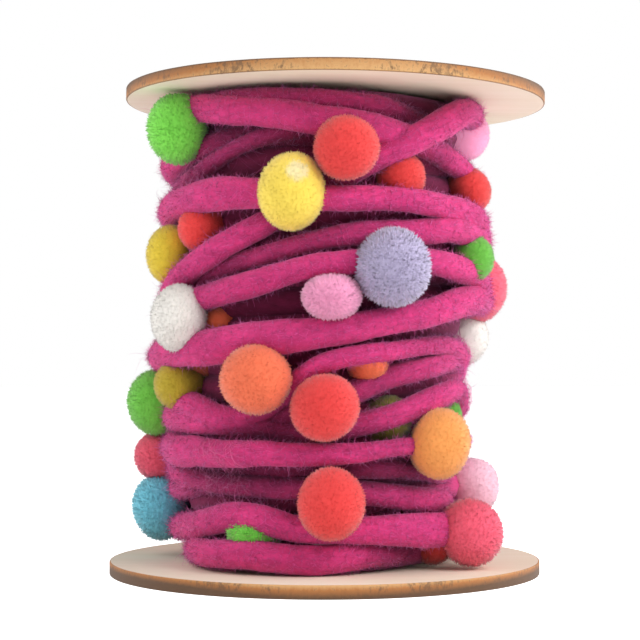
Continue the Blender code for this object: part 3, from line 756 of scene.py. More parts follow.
def spikes(roots, tips, radius, random):
    """Closed three-sided spikes, four points and four faces each."""
    side, other = across(unit(tips - roots), random)
    points = np.stack((*triangle_at(roots, side, other, radius), tips), axis=1).reshape(-1, 3)
    return points, copies(((0, 2, 1), (0, 1, 3), (1, 2, 3), (2, 0, 3)), len(roots), 4)


def blades(roots, tips, outward, radius, random):
    """Flat three-cornered fibres, three points and one face each, which faces roughly outward."""
    ahead = unit(tips - roots)
    level = unit(np.cross(ahead, outward))
    twist = random.uniform(-BLADE_TWIST, BLADE_TWIST, (len(roots), 1))
    side = np.cos(twist) * level + np.sin(twist) * np.cross(ahead, level)
    points = np.stack((roots - radius * side, roots + radius * side, tips), axis=1).reshape(-1, 3)
    return points, np.arange(len(points)).reshape(-1, 3)


def bent_fibres(roots, middles, tips, radius, random):
    """Closed three-sided fibres with one bend, seven points and ten faces each."""
    side, other = across(unit(tips - roots), random)
    low = triangle_at(roots, side, other, radius)
    high = triangle_at(middles, side, other, FIBRE_TAPER * radius)
    points = np.stack((*low, *high, tips), axis=1).reshape(-1, 3)
    pattern = [(0, 2, 1)]
    for a, b in ((0, 1), (1, 2), (2, 0)):
        pattern += [(a, b, b + 3), (a, b + 3, a + 3), (a + 3, b + 3, 6)]
    return points, copies(pattern, len(roots), 7)


def smooth_noise(random, shape, widths):
    """Random values on a closed grid, smoothed over a width along each axis, of spread 1."""
    field = random.standard_normal(shape)
    for axis, width in enumerate(widths):
        pace = np.fft.fftfreq(shape[axis])
        window = np.exp(-2 * (pi * width * pace) ** 2)
        window = window.reshape([-1 if place == axis else 1 for place in range(len(shape))])
        field = np.real(np.fft.ifft(np.fft.fft(field, axis=axis) * window, axis=axis))
    return field / field.std()


def smooth_curve(points, angles):
    """Smooth values at many angles, through (angle, value) points in rising order."""
    x, y = np.array(points).T
    slopes = np.gradient(y, x)
    slopes[1:-1] = (y[2:] - y[:-2]) / (x[2:] - x[:-2])
    index = np.clip(np.searchsorted(x, angles) - 1, 0, len(x) - 2)
    span = x[index + 1] - x[index]
    t = (angles - x[index]) / span
    value = (2 * t ** 3 - 3 * t ** 2 + 1) * y[index]
    value += (t ** 3 - 2 * t ** 2 + t) * span * slopes[index]
    value += (3 * t ** 2 - 2 * t ** 3) * y[index + 1]
    value += (t ** 3 - t ** 2) * span * slopes[index + 1]
    return value


def round_points(angles, radii, heights):
    """Points at angles round the roll, distances from its axis and heights."""
    turns = np.radians(angles)
    return np.stack((radii * np.sin(turns), -radii * np.cos(turns), heights), axis=-1)


def round_places(points):
    """Angle in degrees and distance from the axis of each point."""
    x, y = points[..., 0], points[..., 1]
    return np.degrees(np.arctan2(x, -y)), np.hypot(x, y)


# The cord's middle line


def cord_points():
    """Height, distance from the axis and half thickness of the whole cord, each as (angle, value)
    points. The angle grows by 360 a turn, and the last turn runs down the back to the start of the
    first, so that no end shows."""
    heights, radii, halves = [], [], []
    for number, (_, row_heights, row_radii, row_halves) in enumerate(TURNS):
        turn = 360 * number
        heights += [(turn + angle, z * MM) for angle, z in zip(HEIGHT_STATIONS, row_heights)]
        radii += [(turn + angle, r * MM) for angle, r in zip(RADIUS_STATIONS, row_radii)]
        halves += [(turn + angle, half * MM) for angle, half in zip(RADIUS_STATIONS, row_halves)]
        climb = TURNS[(number + 1) % len(TURNS)][1][0] - row_heights[-1]
        for share, angle in BACK_STATIONS:
            height_phase, radius_phase = (
                phases[0] * number + phases[1] * share
                for phases in (BACK_HEIGHT_PHASES, BACK_RADIUS_PHASES))
            z = (row_heights[-1] + share * climb) * MM + BACK_HEIGHT_WAVE * sin(height_phase)
            heights.append((turn + angle, z))
            radii.append((turn + angle, BACK_RADIUS + BACK_RADIUS_WAVE * sin(radius_phase)))
            halves.append((turn + angle, settings().cord.radius))
    whole = 360 * len(TURNS)
    for points in (heights, radii, halves):
        last_angle, last_value = points[-1]
        points += [(angle + whole, value) for angle, value in points[:2]]
        points.insert(0, (last_angle - whole, last_value))
    return heights, radii, halves


def lowest_height():
    """Height of a cord that lies on the bottom disc."""
    return BOTTOM_DISC_THICKNESS + CLEARANCE + settings().cord.radius


def outer_line():
    """Points of the closed outer cord and half its thickness at each."""
    heights, radii, halves = cord_points()
    angles = np.arange(-90, 360 * len(TURNS) - 90, CORD_STEP)
    random = np.random.default_rng(SEED + 4)
    lift, shift = smooth_noise(random, (2, len(angles)), (0, CORD_WOBBLE_WIDTH / CORD_STEP)) * CORD_WOBBLE
    z = np.maximum(smooth_curve(heights, angles) + lift, lowest_height())
    return round_points(angles, smooth_curve(radii, angles) + shift, z), smooth_curve(halves, angles)


def inner_line():
    """Points of the even inner layer that shows in the gaps, up to a level turn at the top."""
    first = lowest_height()
    turns = ceil((INNER_LAYER_TOP - first) / INNER_LAYER_PITCH) + 1
    angles = np.arange(0, 360 * turns, INNER_CORD_STEP)
    z = first + INNER_LAYER_PITCH * angles / 360
    z += INNER_LAYER_WAVE * np.sin(np.radians(2 * angles) + INNER_LAYER_PHASE * (angles // 360))
    return round_points(angles, np.full(len(angles), INNER_LAYER_RADIUS), np.minimum(z, INNER_LAYER_TOP))


def line_frames(line, closed):
    """Unit vectors along a line and, square to it, outward and sideways."""
    if closed:
        ahead = np.roll(line, -1, axis=0) - np.roll(line, 1, axis=0)
    else:
        ahead = np.gradient(line, axis=0)
    tangent = unit(ahead)
    outward = line * (1, 1, 0)
    outward = unit(outward - tangent * np.sum(outward * tangent, axis=1, keepdims=True))
    return tangent, outward, np.cross(tangent, outward)


def tube(line, radii, closed):
    """A tube round a line; radii has a row for each point and a column for each side.

    Side 0 faces the axis. Also returns how far each point lies along and round the cord.
    """
    count, sides = radii.shape
    _, outward, sideways = line_frames(line, closed)
    turns = 2 * pi * np.arange(sides) / sides
    spokes = -np.cos(turns)[:, None] * outward[:, None] + np.sin(turns)[:, None] * sideways[:, None]
    points = line[:, None] + spokes * radii[:, :, None]
    rows = sides * np.arange(count if closed else count - 1)[:, None]
    corner = rows + np.arange(sides)
    beside = rows + (np.arange(sides) + 1) % sides
    quads = (corner, beside, (beside + sides) % (count * sides), (corner + sides) % (count * sides))
    faces = np.stack(quads, axis=-1).reshape(-1, 4).tolist()
    if not closed:
        faces += [list(range(sides)), list(reversed(range((count - 1) * sides, count * sides)))]
    lie = np.zeros((count, sides, 3))
    lie[1:, :, 0] = np.cumsum(np.linalg.norm(np.diff(line, axis=0), axis=1))[:, None]
    lie[:, :, 1] = turns * radii.mean()
    return points.reshape(-1, 3), faces, lie


# Depth in the winding


def felt_radius(angles, heights, line):
    """Outside of the winding at angles and heights, as the turn that stands furthest out."""
    radius = settings().cord.radius
    line_angles, line_radii = round_places(line)
    beside = np.abs((angles[..., None] - line_angles + 180) % 360 - 180) <= CORD_STEP
    offset = np.minimum(np.abs(heights[..., None] - line[:, 2]), radius)
    reach = line_radii + np.sqrt(radius ** 2 - offset ** 2)
    reach = np.where(beside & (offset < radius), reach, INNER_LAYER_RADIUS + radius)
    return reach.max(axis=-1)


def winding_skin(line):
    """Radius of a skin pulled over the outermost turns, on an even grid of angles and heights."""
    heights = np.linspace(BOTTOM_DISC_THICKNESS, TOP_DISC_UNDERSIDE, SKIN_ROWS)
    angles = np.arange(0, 360, SKIN_STEP)
    reach = np.stack([felt_radius(np.full(SKIN_ROWS, angle), heights, line) for angle in angles])
    skin = reach
    for shift in range(-SKIN_SPREAD, SKIN_SPREAD + 1):
        rows = np.clip(np.arange(SKIN_ROWS) + shift, 0, SKIN_ROWS - 1)
        skin = np.maximum(skin, reach[:, rows])
    for _ in range(SKIN_SMOOTHING):
        skin = (np.roll(skin, 1, axis=0) + skin + np.roll(skin, -1, axis=0)) / 3
        skin[:, 1:-1] = (skin[:, :-2] + skin[:, 1:-1] + skin[:, 2:]) / 3
    return skin


def store_depth(piece, points, skin):
    """Give each point its depth under the skin of the winding."""
    angles, radii = round_places(points)
    column = np.round(angles / SKIN_STEP).astype(int) % len(skin)
    share = (points[:, 2] - BOTTOM_DISC_THICKNESS) / (TOP_DISC_UNDERSIDE - BOTTOM_DISC_THICKNESS)
    row = np.clip(np.round(share * (SKIN_ROWS - 1)).astype(int), 0, SKIN_ROWS - 1)
    store(piece, "depth", skin[column, row] - radii)


# Cord

# Lumps of the felt: smoothing widths along and round the cord in points, and their shares
LONG_SWELL_WIDTH = 9
SWELL_WIDTHS = (4, 2.2)
SWELL_SHARE = 0.8
NAP_WIDTHS = (1.2, 0.9)
NAP_SHARE = 0.35

# Fibres on the cord: their stand is how far they rise for each length that they run along it
TURN_SPREAD = 1.15
ALONG_PULL = 1.3
LENGTH_SPREAD = 0.35
FIBRE_TAPER = 0.8
NAP_STAND = (0.55, 0.10)  # spread and least value, as in FUZZ_STAND
NAP_UPRIGHT_SHARE = 0.30
NAP_ROOT_DEPTH = 0.10 * MM
NAP_RADIUS = 0.055 * MM
NAP_NORMAL_SPREAD = 0.35
# Rise of each point of a fibre, low at the root, where the painted root shade darkens it
NAP_RISES = (0.2, 0.2, 1.0)
BLADE_TWIST = 0.9
FUZZ_STAND = (0.35, 0.05)
FUZZ_CURL = 0.3
FUZZ_REACH = 0.9
FUZZ_ARCH = 0.2
FUZZ_NORMAL = (0.8, 0.3)  # shares of the direction off the felt and of the curl
FUZZ_ROOT_DEPTH = 0.12 * MM
FUZZ_RADIUS = 0.03 * MM
# Rise of each point of a fibre, low at the root, where the painted root shade darkens it
FUZZ_RISES = (0.3, 0.3, 0.3, 0.8, 0.8, 0.8, 1.0)

# Search for other stretches of the cord, in points of its line
OWN_STRETCH = 30
SEARCH_STEP = 2
SEARCH_BATCH = 400


def build_cord(name, line, halves, closed, sides, seed, skin, material):
    """A stretch of cord that swells and thins as hand-felted wool does; returns its radii."""
    random = np.random.default_rng(seed)
    count = len(halves)
    along = smooth_noise(random, (count,), (LONG_SWELL_WIDTH,))[:, None]
    swell = smooth_noise(random, (count, sides), SWELL_WIDTHS)
    nap = smooth_noise(random, (count, sides), NAP_WIDTHS)
    lumps = along + SWELL_SHARE * swell + NAP_SHARE * nap
    radii = halves[:, None] + settings().cord.lumps * lumps
    points, faces, lie = tube(line, radii, closed)
    piece = add_piece(name, points, faces, material)
    store(piece, "cord_lie", lie)
    store_depth(piece, points, skin)
    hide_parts("winding")
    return radii


def add_fibres(name, points, faces, rises, material, skin, random):
    """A piece of like fibres. Each has its own chance value, and rises holds the share of the
    fibre's height at each of its points, which sets its painted root shade."""
    piece = add_piece(name, points, faces, material)
    values = np.ones((len(points) // len(rises), len(rises), 4))
    values[:, :, 0] = random.uniform(0.0, 1.0, len(values))[:, None]
    values[:, :, 1] = rises
    store(piece, "strand", values)
    store_depth(piece, points, skin)
    return piece


def set_normals(piece, normals, points_each):
    piece.data.normals_split_custom_set_from_vertices(np.repeat(normals, points_each, axis=0))


def hidden_in_cord(points, line, own):
    """Whether each point lies inside another stretch of the cord than its own."""
    hidden = np.zeros(len(points), dtype=bool)
    places = np.arange(0, len(line), SEARCH_STEP)
    for start in range(0, len(points), SEARCH_BATCH):
        rows = slice(start, start + SEARCH_BATCH)
        gaps = np.linalg.norm(points[rows, None] - line[None, places], axis=2)
        gaps[np.abs(own[rows, None] - places) < OWN_STRETCH] = np.inf
        hidden[rows] = gaps.min(axis=1) < settings().cord.radius
    return hidden


def fibres_on_cord(line, radii, count, mean_length, stand_values, random):
    """Random fibres on the outer side of the cord: nearest point of the line, surface point,
    direction off the felt, a direction along it that has been turned at random, length, and how
    far the fibre stands off the felt."""
    tangent, outward, sideways = line_frames(line, closed=True)
    own = random.integers(0, len(line), count)
    turn = random.normal(0.0, TURN_SPREAD, count)
    spoke = np.cos(turn)[:, None] * outward[own] + np.sin(turn)[:, None] * sideways[own]
    side = np.round((pi - turn) / (2 * pi) * CORD_SIDES).astype(int) % CORD_SIDES
    surface = line[own] + spoke * radii[own, side][:, None]
    lie = random.uniform(-pi, pi, count)[:, None]
    along = unit(ALONG_PULL * np.cos(lie) * tangent[own] + np.sin(lie) * np.cross(tangent[own], spoke))
    length = mean_length * random.lognormal(0.0, LENGTH_SPREAD, count)[:, None]
    spread, least = stand_values
    stand = np.abs(random.normal(0.0, spread, count))[:, None] + least
    return own, surface, spoke, along, length, stand


def keep_off_discs(points):
    """Move points that would reach into a disc to just off it, as fibres bend against the wood."""
    underside = TOP_DISC_UNDERSIDE - sin(TOP_DISC_TILT) * (points[:, 0] - TOP_DISC_SHIFT)
    points[:, 2] = np.clip(points[:, 2], BOTTOM_DISC_THICKNESS + FIBRE_GAP, underside - FIBRE_GAP)


def build_nap(line, radii, skin, material):
    """Short fibres lying close on the felt, which give the cord its soft outline."""
    cord = settings().cord
    random = np.random.default_rng(SEED + 2)
    own, surface, spoke, along, length, stand = fibres_on_cord(
        line, radii, cord.nap_count, cord.nap_length, NAP_STAND, random)
    stand += random.uniform(0.0, 1.0, stand.shape) < NAP_UPRIGHT_SHARE
    tips = surface + length * unit(along + stand * spoke)
    keep = ~hidden_in_cord(tips, line, own)
    roots = surface - NAP_ROOT_DEPTH * spoke
    points, faces = blades(roots[keep], tips[keep], spoke[keep], NAP_RADIUS, random)
    keep_off_discs(points)
    piece = add_fibres("cord_nap", points, faces, NAP_RISES, material, skin, random)
    normals = unit(spoke + random.normal(0.0, NAP_NORMAL_SPREAD, spoke.shape))
    set_normals(piece, normals[keep], len(NAP_RISES))


def build_fuzz(line, radii, skin, material):
    """Long fine fibres lying loosely on the cord, some of them standing off it."""
    cord = settings().cord
    random = np.random.default_rng(SEED + 3)
    own, surface, spoke, along, length, stand = fibres_on_cord(
        line, radii, cord.fuzz_count, cord.fuzz_length, FUZZ_STAND, random)
    curl = random.normal(0.0, FUZZ_CURL, surface.shape)
    middles = surface + 0.5 * length * (FUZZ_REACH * along + (FUZZ_ARCH + stand) * spoke)
    tips = surface + length * (FUZZ_REACH * unit(along + curl) + stand * spoke)
    keep = ~hidden_in_cord(tips, line, own)
    roots = surface - FUZZ_ROOT_DEPTH * spoke
    keep_off_discs(middles)
    keep_off_discs(tips)
    points, faces = bent_fibres(roots[keep], middles[keep], tips[keep], FUZZ_RADIUS, random)
    piece = add_fibres("cord_fuzz", points, faces, FUZZ_RISES, material, skin, random)
    normals = unit(FUZZ_NORMAL[0] * spoke + FUZZ_NORMAL[1] * curl)
    set_normals(piece, normals[keep], len(FUZZ_RISES))


def build_wisps(name, patches, line, skin, material):
    """Long loose fibres that run over several turns."""
    random = np.random.default_rng(SEED + len(name))
    steps = (np.arange(WISP_STEPS) / (WISP_STEPS - 1))[None]
    angles, heights = [], []
    for low_angle, high_angle, low, high, count in patches:
        angle = random.uniform(low_angle, high_angle, count)[:, None]
        height = random.uniform(low, high, count)[:, None] * MM
        heading = random.normal(pi / 2, WISP_HEADING_SPREAD, count)[:, None]
        length = random.uniform(*WISP_LENGTHS, count)[:, None] * MM
        heading = heading + random.normal(0.0, WISP_BEND_SPREAD, count)[:, None] * steps
        angles.append(angle + np.degrees(length * steps * np.cos(heading) / WISP_RADIUS))
        heights.append(height - length * steps * np.sin(heading))
    angles = np.concatenate(angles)
    heights = np.clip(
        np.concatenate(heights), BOTTOM_DISC_THICKNESS + WISP_DISC_GAP, TOP_DISC_UNDERSIDE - WISP_DISC_GAP)
    radii = felt_radius(angles, heights, line)
    for _ in range(WISP_SMOOTHING):
        radii[:, 1:-1] = np.maximum(radii[:, 1:-1], 0.5 * (radii[:, :-2] + radii[:, 2:]))
    radii += random.uniform(*WISP_LIFTS, (len(radii), 1)) * MM
    sizes = WISP_THICKNESS * (1 - WISP_TAPER * np.arange(WISP_STEPS) / WISP_STEPS)[:, None]
    last = 3 * (WISP_STEPS - 1)
    pattern = [(low + a, low + 3 + a, low + 3 + b, low + b)
               for low in range(0, last, 3) for a, b in ((0, 1), (1, 2), (2, 0))]
    pattern += [(0, 1, 2), (last, last + 2, last + 1)]
    points, faces = [], []
    for path in round_points(angles, radii, heights):
        _, outward, sideways = line_frames(path, closed=False)
        faces += [[len(points) * 3 * WISP_STEPS + corner for corner in face] for face in pattern]
        points.append(np.stack(triangle_at(path, outward, sideways, sizes), axis=1))
    add_fibres(name, np.reshape(points, (-1, 3)), faces, (1.0,) * 3 * WISP_STEPS, material, skin, random)


# Pompoms

BALL_SUBDIVISIONS = 4
BALL_INSET = 0.45 * MM
# The low rise of the ball under the strands gives it painted root shade
BALL_SHADE = (0.5, 0.35)  # chance value and rise of the ball under the strands
STRAND_ROOT_DEPTH = 0.3 * MM
STRAND_SHIFT = 0.9
STRAND_THICKENING = 0.4
STRAND_LEAN = 0.25
STRAND_REACHES = (0.6, 1.2)
STRAND_NORMAL_SPREAD = 0.12
STRAY_REACH = 0.5 * MM
STRAY_THINNESS = 0.3
LOBES = 10
LOBE_SPREAD = 0.036
LOBE_SHARPNESS = 6.0
NEARBY = 14 * MM
CORD_OVERLAP = 0.2 * MM
INNER_LAYER_GAP = 1 * MM
BALL_DISC_GAP = 0.1 * MM
PATCH_EDGE_SLOPE = 2.0
PATCH_EDGE_START = 0.9
PATCH_EDGE_SPREAD = 0.3
LEAST_FULL_COLOUR = 0.3


def even_directions(count, random):
    """Directions spread evenly over a ball, each moved a little at random."""
    number = np.arange(count) + 0.5
    height = 1 - 2 * number / count
    turn = pi * (1 + 5 ** 0.5) * number
    flat = np.sqrt(1 - height ** 2)
    even = np.stack((flat * np.cos(turn), flat * np.sin(turn), height), axis=-1)
    return unit(even + random.normal(0.0, STRAND_SHIFT / count ** 0.5, even.shape))


def lobes(directions, random):
    """Low lumps of a hand-trimmed ball, as a factor on its radius."""
    factor = np.ones(len(directions))
    for _ in range(LOBES):
        middle = unit(random.standard_normal(3))
        factor += random.normal(0.0, LOBE_SPREAD) * np.exp(LOBE_SHARPNESS * (directions @ middle - 1))
    return factor


def dye(number, directions, random):
    """How fully each direction of a pompom takes its colour instead of the pale colour, from 0 to 1."""
    if number not in PALE_PATCHES:
        return np.ones(len(directions))
    angle, lift, half_width = (radians(value) for value in PALE_PATCHES[number])
    middle = np.array((sin(angle) * cos(lift), -cos(angle) * cos(lift), sin(lift)))
    away = np.arccos(np.clip(directions @ middle, -1, 1)) / half_width
    coloured = PATCH_EDGE_SLOPE * away - PATCH_EDGE_START + random.normal(0.0, PATCH_EDGE_SPREAD, len(directions))
    return np.clip(coloured, LEAST_FULL_COLOUR, 1.0)


def ball_base():
    """Points and faces of a round ball of radius 1."""
    builder = bmesh.new()
    bmesh.ops.create_icosphere(builder, subdivisions=BALL_SUBDIVISIONS, radius=1.0)
    points = np.array([vertex.co[:] for vertex in builder.verts])
    faces = np.array([[vertex.index for vertex in face.verts] for face in builder.faces])
    builder.free()
    return points, faces


def clear_of_winding(tips, centre, line):
    """Whether each tip stays out of the cord, the inner layer and the bottom disc."""
    clear = np.ones(len(tips), dtype=bool)
    nearby = line[np.linalg.norm(line - centre, axis=1) < NEARBY] - centre
    if len(nearby):
        gaps = np.linalg.norm(tips[:, None] - nearby[None], axis=2).min(axis=1)
        clear = gaps > settings().cord.radius - CORD_OVERLAP
    outer = centre + tips
    clear &= np.hypot(outer[:, 0], outer[:, 1]) > INNER_LAYER_RADIUS + INNER_LAYER_GAP
    return clear & (outer[:, 2] > BOTTOM_DISC_THICKNESS)


def build_pompom(number, row, base, line, skin):
    """A lumpy ball with a pile of strands, some of them thin strays."""
    pompoms = settings().pompoms
    colour, angle, height, distance, half_width, half_height = row
    pile_times, root_shade, tone_and_painted_light, hollow = SHAGGY.get(number, USUAL_PILE)
    # Painted glow for some pompoms, in the colour of their wool
    shade, glow = PAINTED_GLOW.get(number, (colour, 0.0))
    pile = pile_times * pompoms.pile
    random = np.random.default_rng(PILE_SEED + number)
    centre = round_points(angle, distance * MM, height * MM)
    core = np.array((half_width, half_width, half_height)) * MM - BALL_INSET - 0.5 * (pile - pompoms.pile)
    ball, ball_faces = base
    directions = even_directions(pompoms.strands, random)
    ball_points, surface = (
        ways * core * lobes(ways, np.random.default_rng(LOBE_SEED + number))[:, None]
        for ways in (ball, directions))
    stray = (random.uniform(0.0, 1.0, len(directions)) < pompoms.stray_share)[:, None]
    lean = unit(directions + random.normal(0.0, STRAND_LEAN, directions.shape))
    reach = pile * random.uniform(*STRAND_REACHES, stray.shape)
    reach = np.where(stray, reach + STRAY_REACH * random.uniform(0.0, 1.0, stray.shape), reach)
    radius = pompoms.strand_radius * np.where(stray, STRAY_THINNESS, 1.0) * pile_times ** STRAND_THICKENING
    roots = surface - STRAND_ROOT_DEPTH * directions
    tips = surface + lean * reach
    keep = clear_of_winding(tips, centre, line)
    directions = directions[keep]
    points, faces = spikes(roots[keep], tips[keep], radius[keep], random)
    points = np.concatenate((ball_points, points)) + centre
    low, high = BOTTOM_DISC_THICKNESS + BALL_DISC_GAP, TOP_DISC_UNDERSIDE - CLEARANCE
    points[:, 2] = np.clip(points[:, 2], low, high)
    name = f"pompom_{number:02d}_{colour}"
    piece = add_piece(
        name + "_pile", points, np.concatenate((ball_faces, faces + len(ball))),
        pile_material(shade, root_shade, tone_and_painted_light, hollow, glow))
    values = np.ones((len(points), 4))
    strands = values[len(ball):].reshape(-1, 4, 4)
    values[:len(ball), :2] = BALL_SHADE
    values[:len(ball), 2] = dye(number, ball, random)
    strands[:, :, 0] = random.uniform(0.0, 1.0, len(directions))[:, None]
    # Rise 0 at the three root points of each strand and 1 at its tip, for the painted root shade
    strands[:, :3, 1] = 0.0
    strands[:, :, 2] = dye(number, directions, random)[:, None]
    store(piece, "strand", values)
    store_depth(piece, points, skin)
    normals = unit(directions + random.normal(0.0, STRAND_NORMAL_SPREAD, directions.shape))
    set_normals(piece, np.concatenate((ball, np.repeat(normals, 4, axis=0))), 1)
    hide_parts(name)


# Discs


def build_disc(node, diameter, thickness, place, tilt, dark_at_top, materials):
    """A plate with softened corners: two faces and a cut edge."""
    random = np.random.default_rng(SEED + len(node))
    half = diameter / 2
    profile = [(half - inset * DISC_EDGE, rise * DISC_EDGE) for inset, rise in DISC_CORNER]
    profile += [(radius, thickness - z) for radius, z in reversed(profile)]
    wave = smooth_noise(random, (DISC_SIDES,), (DISC_WAVE_WIDTH,)) * DISC_WAVE
    angles = 360 * np.arange(DISC_SIDES) / DISC_SIDES
    points = np.concatenate([
        round_points(angles, radius + wave, np.full(DISC_SIDES, z)) for radius, z in profile])
    last = (len(profile) - 1) * DISC_SIDES
    faces = [list(reversed(range(DISC_SIDES))), list(range(last, last + DISC_SIDES))]
    for ring in range(0, last, DISC_SIDES):
        for side in range(DISC_SIDES):
            a, b = ring + side, ring + (side + 1) % DISC_SIDES
            faces.append([a, b, b + DISC_SIDES, a + DISC_SIDES])
    turn = Matrix.Translation(place) @ Matrix.Rotation(tilt, 4, "Y")
    piece = add_piece(node + "_plywood", [turn @ Vector(point) for point in points], faces, materials[0])
    piece.data.materials.append(materials[1])
    piece.data.polygons.foreach_set("material_index", [0, 0] + [1] * (len(faces) - 2))
    shares = np.array([z for _, z in profile]) / thickness
    edge_place = np.zeros((len(profile), DISC_SIDES, 3))
    edge_place[:, :, 0] = np.sin(np.radians(angles / 2)) * pi * half
    edge_place[:, :, 1] = (1 - shares if dark_at_top else shares)[:, None]
    # Amount of painted shade towards the sides of the roll
    edge_place[:, :, 2] = smooth_curve(RIM_SIDE_SHADE[node], (angles + 180) % 360 - 180)
    store(piece, "edge_place", edge_place)
    piece.data.set_sharp_from_angle(angle=DISC_SHARP_ANGLE)
    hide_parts(node)


# Operators


class TRIMROLL_OT_discs(bpy.types.Operator):
    """Make the two plywood discs with their laser-burnt edges"""

    bl_idname = "trim_roll.discs"
    bl_label = "Make Discs"

    def execute(self, context):
        face = face_material()
        build_disc(
            "disc_bottom", BOTTOM_DISC_DIAMETER, BOTTOM_DISC_THICKNESS, (0, 0, 0), 0.0, False,
            (face, rim_material("plywood_bottom_rim", *BOTTOM_RIM)))
        build_disc(
            "disc_top", TOP_DISC_DIAMETER, TOP_DISC_THICKNESS,
            (TOP_DISC_SHIFT, 0, TOP_DISC_UNDERSIDE), TOP_DISC_TILT, True,
            (face, rim_material("plywood_top_rim", *TOP_RIM)))
        return {"FINISHED"}


class TRIMROLL_OT_cord(bpy.types.Operator):
    """Wind the felted cord: the outer turns, the inner layer and the loose fibres"""

    bl_idname = "trim_roll.cord"
    bl_label = "Wind Cord"

    def execute(self, context):
        cord = settings().cord
        fibres = fibre_material("cord_fibres", cord.fibre_colour)
        loose = fibre_material("loose_fibres", cord.wisp_colour)
        line, halves = outer_line()
        skin = winding_skin(line)
        radii = build_cord("felted_cord", line, halves, True, CORD_SIDES, SEED, skin,
                           felt_material("felted_cord", OUTER_GAP_SHADE))
        inner = inner_line()
        build_cord("felted_cord_inner_layer", inner, np.full(len(inner), cord.radius + INNER_CORD_EXTRA),
                   False, INNER_CORD_SIDES, SEED + 1, skin,
                   felt_material("felted_cord_inside", INNER_GAP_SHADE))
        build_nap(line, radii, skin, fibres)
        build_fuzz(line, radii, skin, fibres)
        build_wisps("cord_wisps", WISP_PATCHES, line, skin, fibres)
        build_wisps("worn_patch_wisps", WORN_PATCHES, line, skin, loose)
        return {"FINISHED"}


class TRIMROLL_OT_pompoms(bpy.types.Operator):
    """Make every pompom: a ball of wool with its pile of strands"""

    bl_idname = "trim_roll.pompoms"
    bl_label = "Make Pompoms"

    def execute(self, context):
        base = ball_base()
        line, _ = outer_line()
        skin = winding_skin(line)
        for number, row in enumerate(POMPOMS, 1):
            build_pompom(number, row, base, line, skin)
        return {"FINISHED"}


def link_object(name, data, matrix):
    item = bpy.data.objects.new(name, data)
    bpy.context.scene.collection.objects.link(item)
    item.matrix_world = matrix
    return item


def add_floor(stage):
    """A pale floor that looks white itself, and gives its own light to what stands on it."""
    half = stage.floor_size / 2
    mesh = bpy.data.meshes.new("floor")
    corners = [(-half, -half, 0), (half, -half, 0), (half, half, 0), (-half, half, 0)]
    mesh.from_pydata(corners, [], [(0, 1, 2, 3)])
    material, make, inputs = new_material("pale_floor", FLOOR_ROUGHNESS)
    seen = make.add("LightPath").outputs["Is Camera Ray"]
    glow = make.add("MapRange", {"Value": seen, "To Min": stage.floor_glow, "To Max": 1.0})
    make.feed(inputs["Base Color"], FLOOR_COLOUR)
    make.feed(inputs["Emission Color"], WHITE)
    make.feed(inputs["Emission Strength"], glow.outputs["Result"])
    mesh.materials.append(material)
    floor = link_object("floor", mesh, Matrix())


def add_room(stage):
    """Even light all round, and a white background behind it."""
    world = bpy.data.worlds.new("studio_room")
    bpy.context.scene.world = world
    world.use_nodes = True
    make = NodeMaker(world.node_tree)
    seen = make.add("LightPath").outputs["Is Camera Ray"]
    light = make.add("Background", {"Color": WHITE, "Strength": stage.room_light}).outputs[0]
    back = make.add("Background", {"Color": WHITE, "Strength": 1.0}).outputs[0]
    mix = make.add("MixShader", {0: seen, 1: light, 2: back})
    make.feed(world.node_tree.nodes["World Output"].inputs["Surface"], mix.outputs[0])


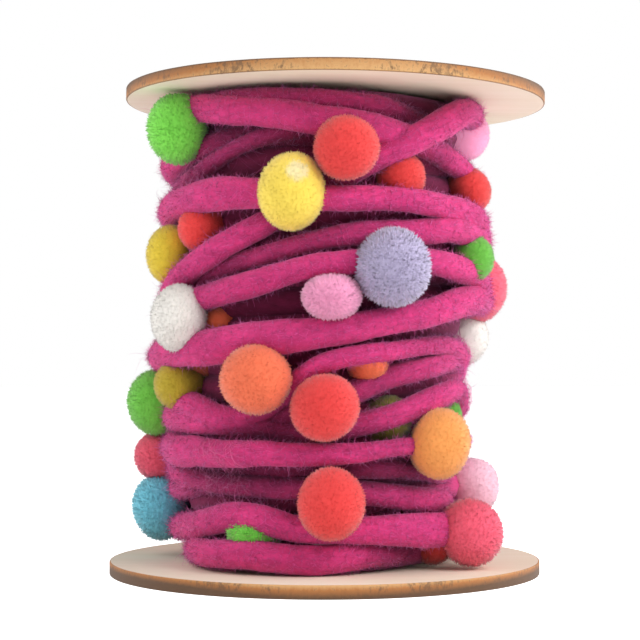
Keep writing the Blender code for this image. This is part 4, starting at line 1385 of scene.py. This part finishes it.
def add_softboxes(stage):
    for name, place, width, power, times in SOFTBOXES:
        light = bpy.data.lights.new(name, "AREA")
        light.shape = "SQUARE"
        light.size = width
        light.energy = times * getattr(stage, power)
        turn = (Vector(SOFTBOX_AIM) - Vector(place)).to_track_quat("-Z", "Y").to_matrix().to_4x4()
        link_object(name, light, Matrix.Translation(place) @ turn)


def add_camera():
    camera = bpy.data.cameras.new("camera")
    camera.lens = CAMERA_LENS
    camera.clip_start = CAMERA_CLIP
    lift, roll, pan = CAMERA_TURNS
    turn = Matrix.Rotation(pan, 4, "Z") @ Matrix.Rotation(lift, 4, "X") @ Matrix.Rotation(roll, 4, "Y")
    matrix = Matrix.Translation(CAMERA_PLACE) @ turn @ Matrix.Rotation(pi / 2, 4, "X")
    bpy.context.scene.camera = link_object("camera", camera, matrix)


class TRIMROLL_OT_stage(bpy.types.Operator):
    """Set the pale floor, the soft studio light and the camera"""

    bl_idname = "trim_roll.stage"
    bl_label = "Set Stage"

    def execute(self, context):
        stage = settings().stage
        add_floor(stage)
        add_room(stage)
        add_softboxes(stage)
        add_camera()
        context.scene.view_settings.view_transform = "Standard"
        return {"FINISHED"}


class TRIMROLL_PT_panel(bpy.types.Panel):
    """Lists the steps that make the roll and their settings"""

    bl_idname = "TRIMROLL_PT_panel"
    bl_label = "Pompom Trim Roll"
    bl_space_type = "VIEW_3D"
    bl_region_type = "UI"
    bl_category = "Trim Roll"

    def draw(self, context):
        for step in STEPS:
            self.layout.operator(step.bl_idname)
        for group in (settings().cord, settings().pompoms, settings().discs, settings().stage):
            box = self.layout.box()
            for name in group.__annotations__:
                box.prop(group, name)


STEPS = (TRIMROLL_OT_discs, TRIMROLL_OT_cord, TRIMROLL_OT_pompoms, TRIMROLL_OT_stage)
CLASSES = (
    CordSettings, PompomSettings, DiscSettings, StageSettings, TrimRollSettings, *STEPS, TRIMROLL_PT_panel)


def register():
    for item in CLASSES:
        bpy.utils.register_class(item)
    bpy.types.Scene.trim_roll = PointerProperty(type=TrimRollSettings)


def unregister():
    del bpy.types.Scene.trim_roll
    for item in reversed(CLASSES):
        bpy.utils.unregister_class(item)


def main():
    register()
    bpy.ops.trim_roll.discs()
    bpy.ops.trim_roll.cord()
    bpy.ops.trim_roll.pompoms()
    bpy.ops.trim_roll.stage()


if __name__ == "__main__":
    main()
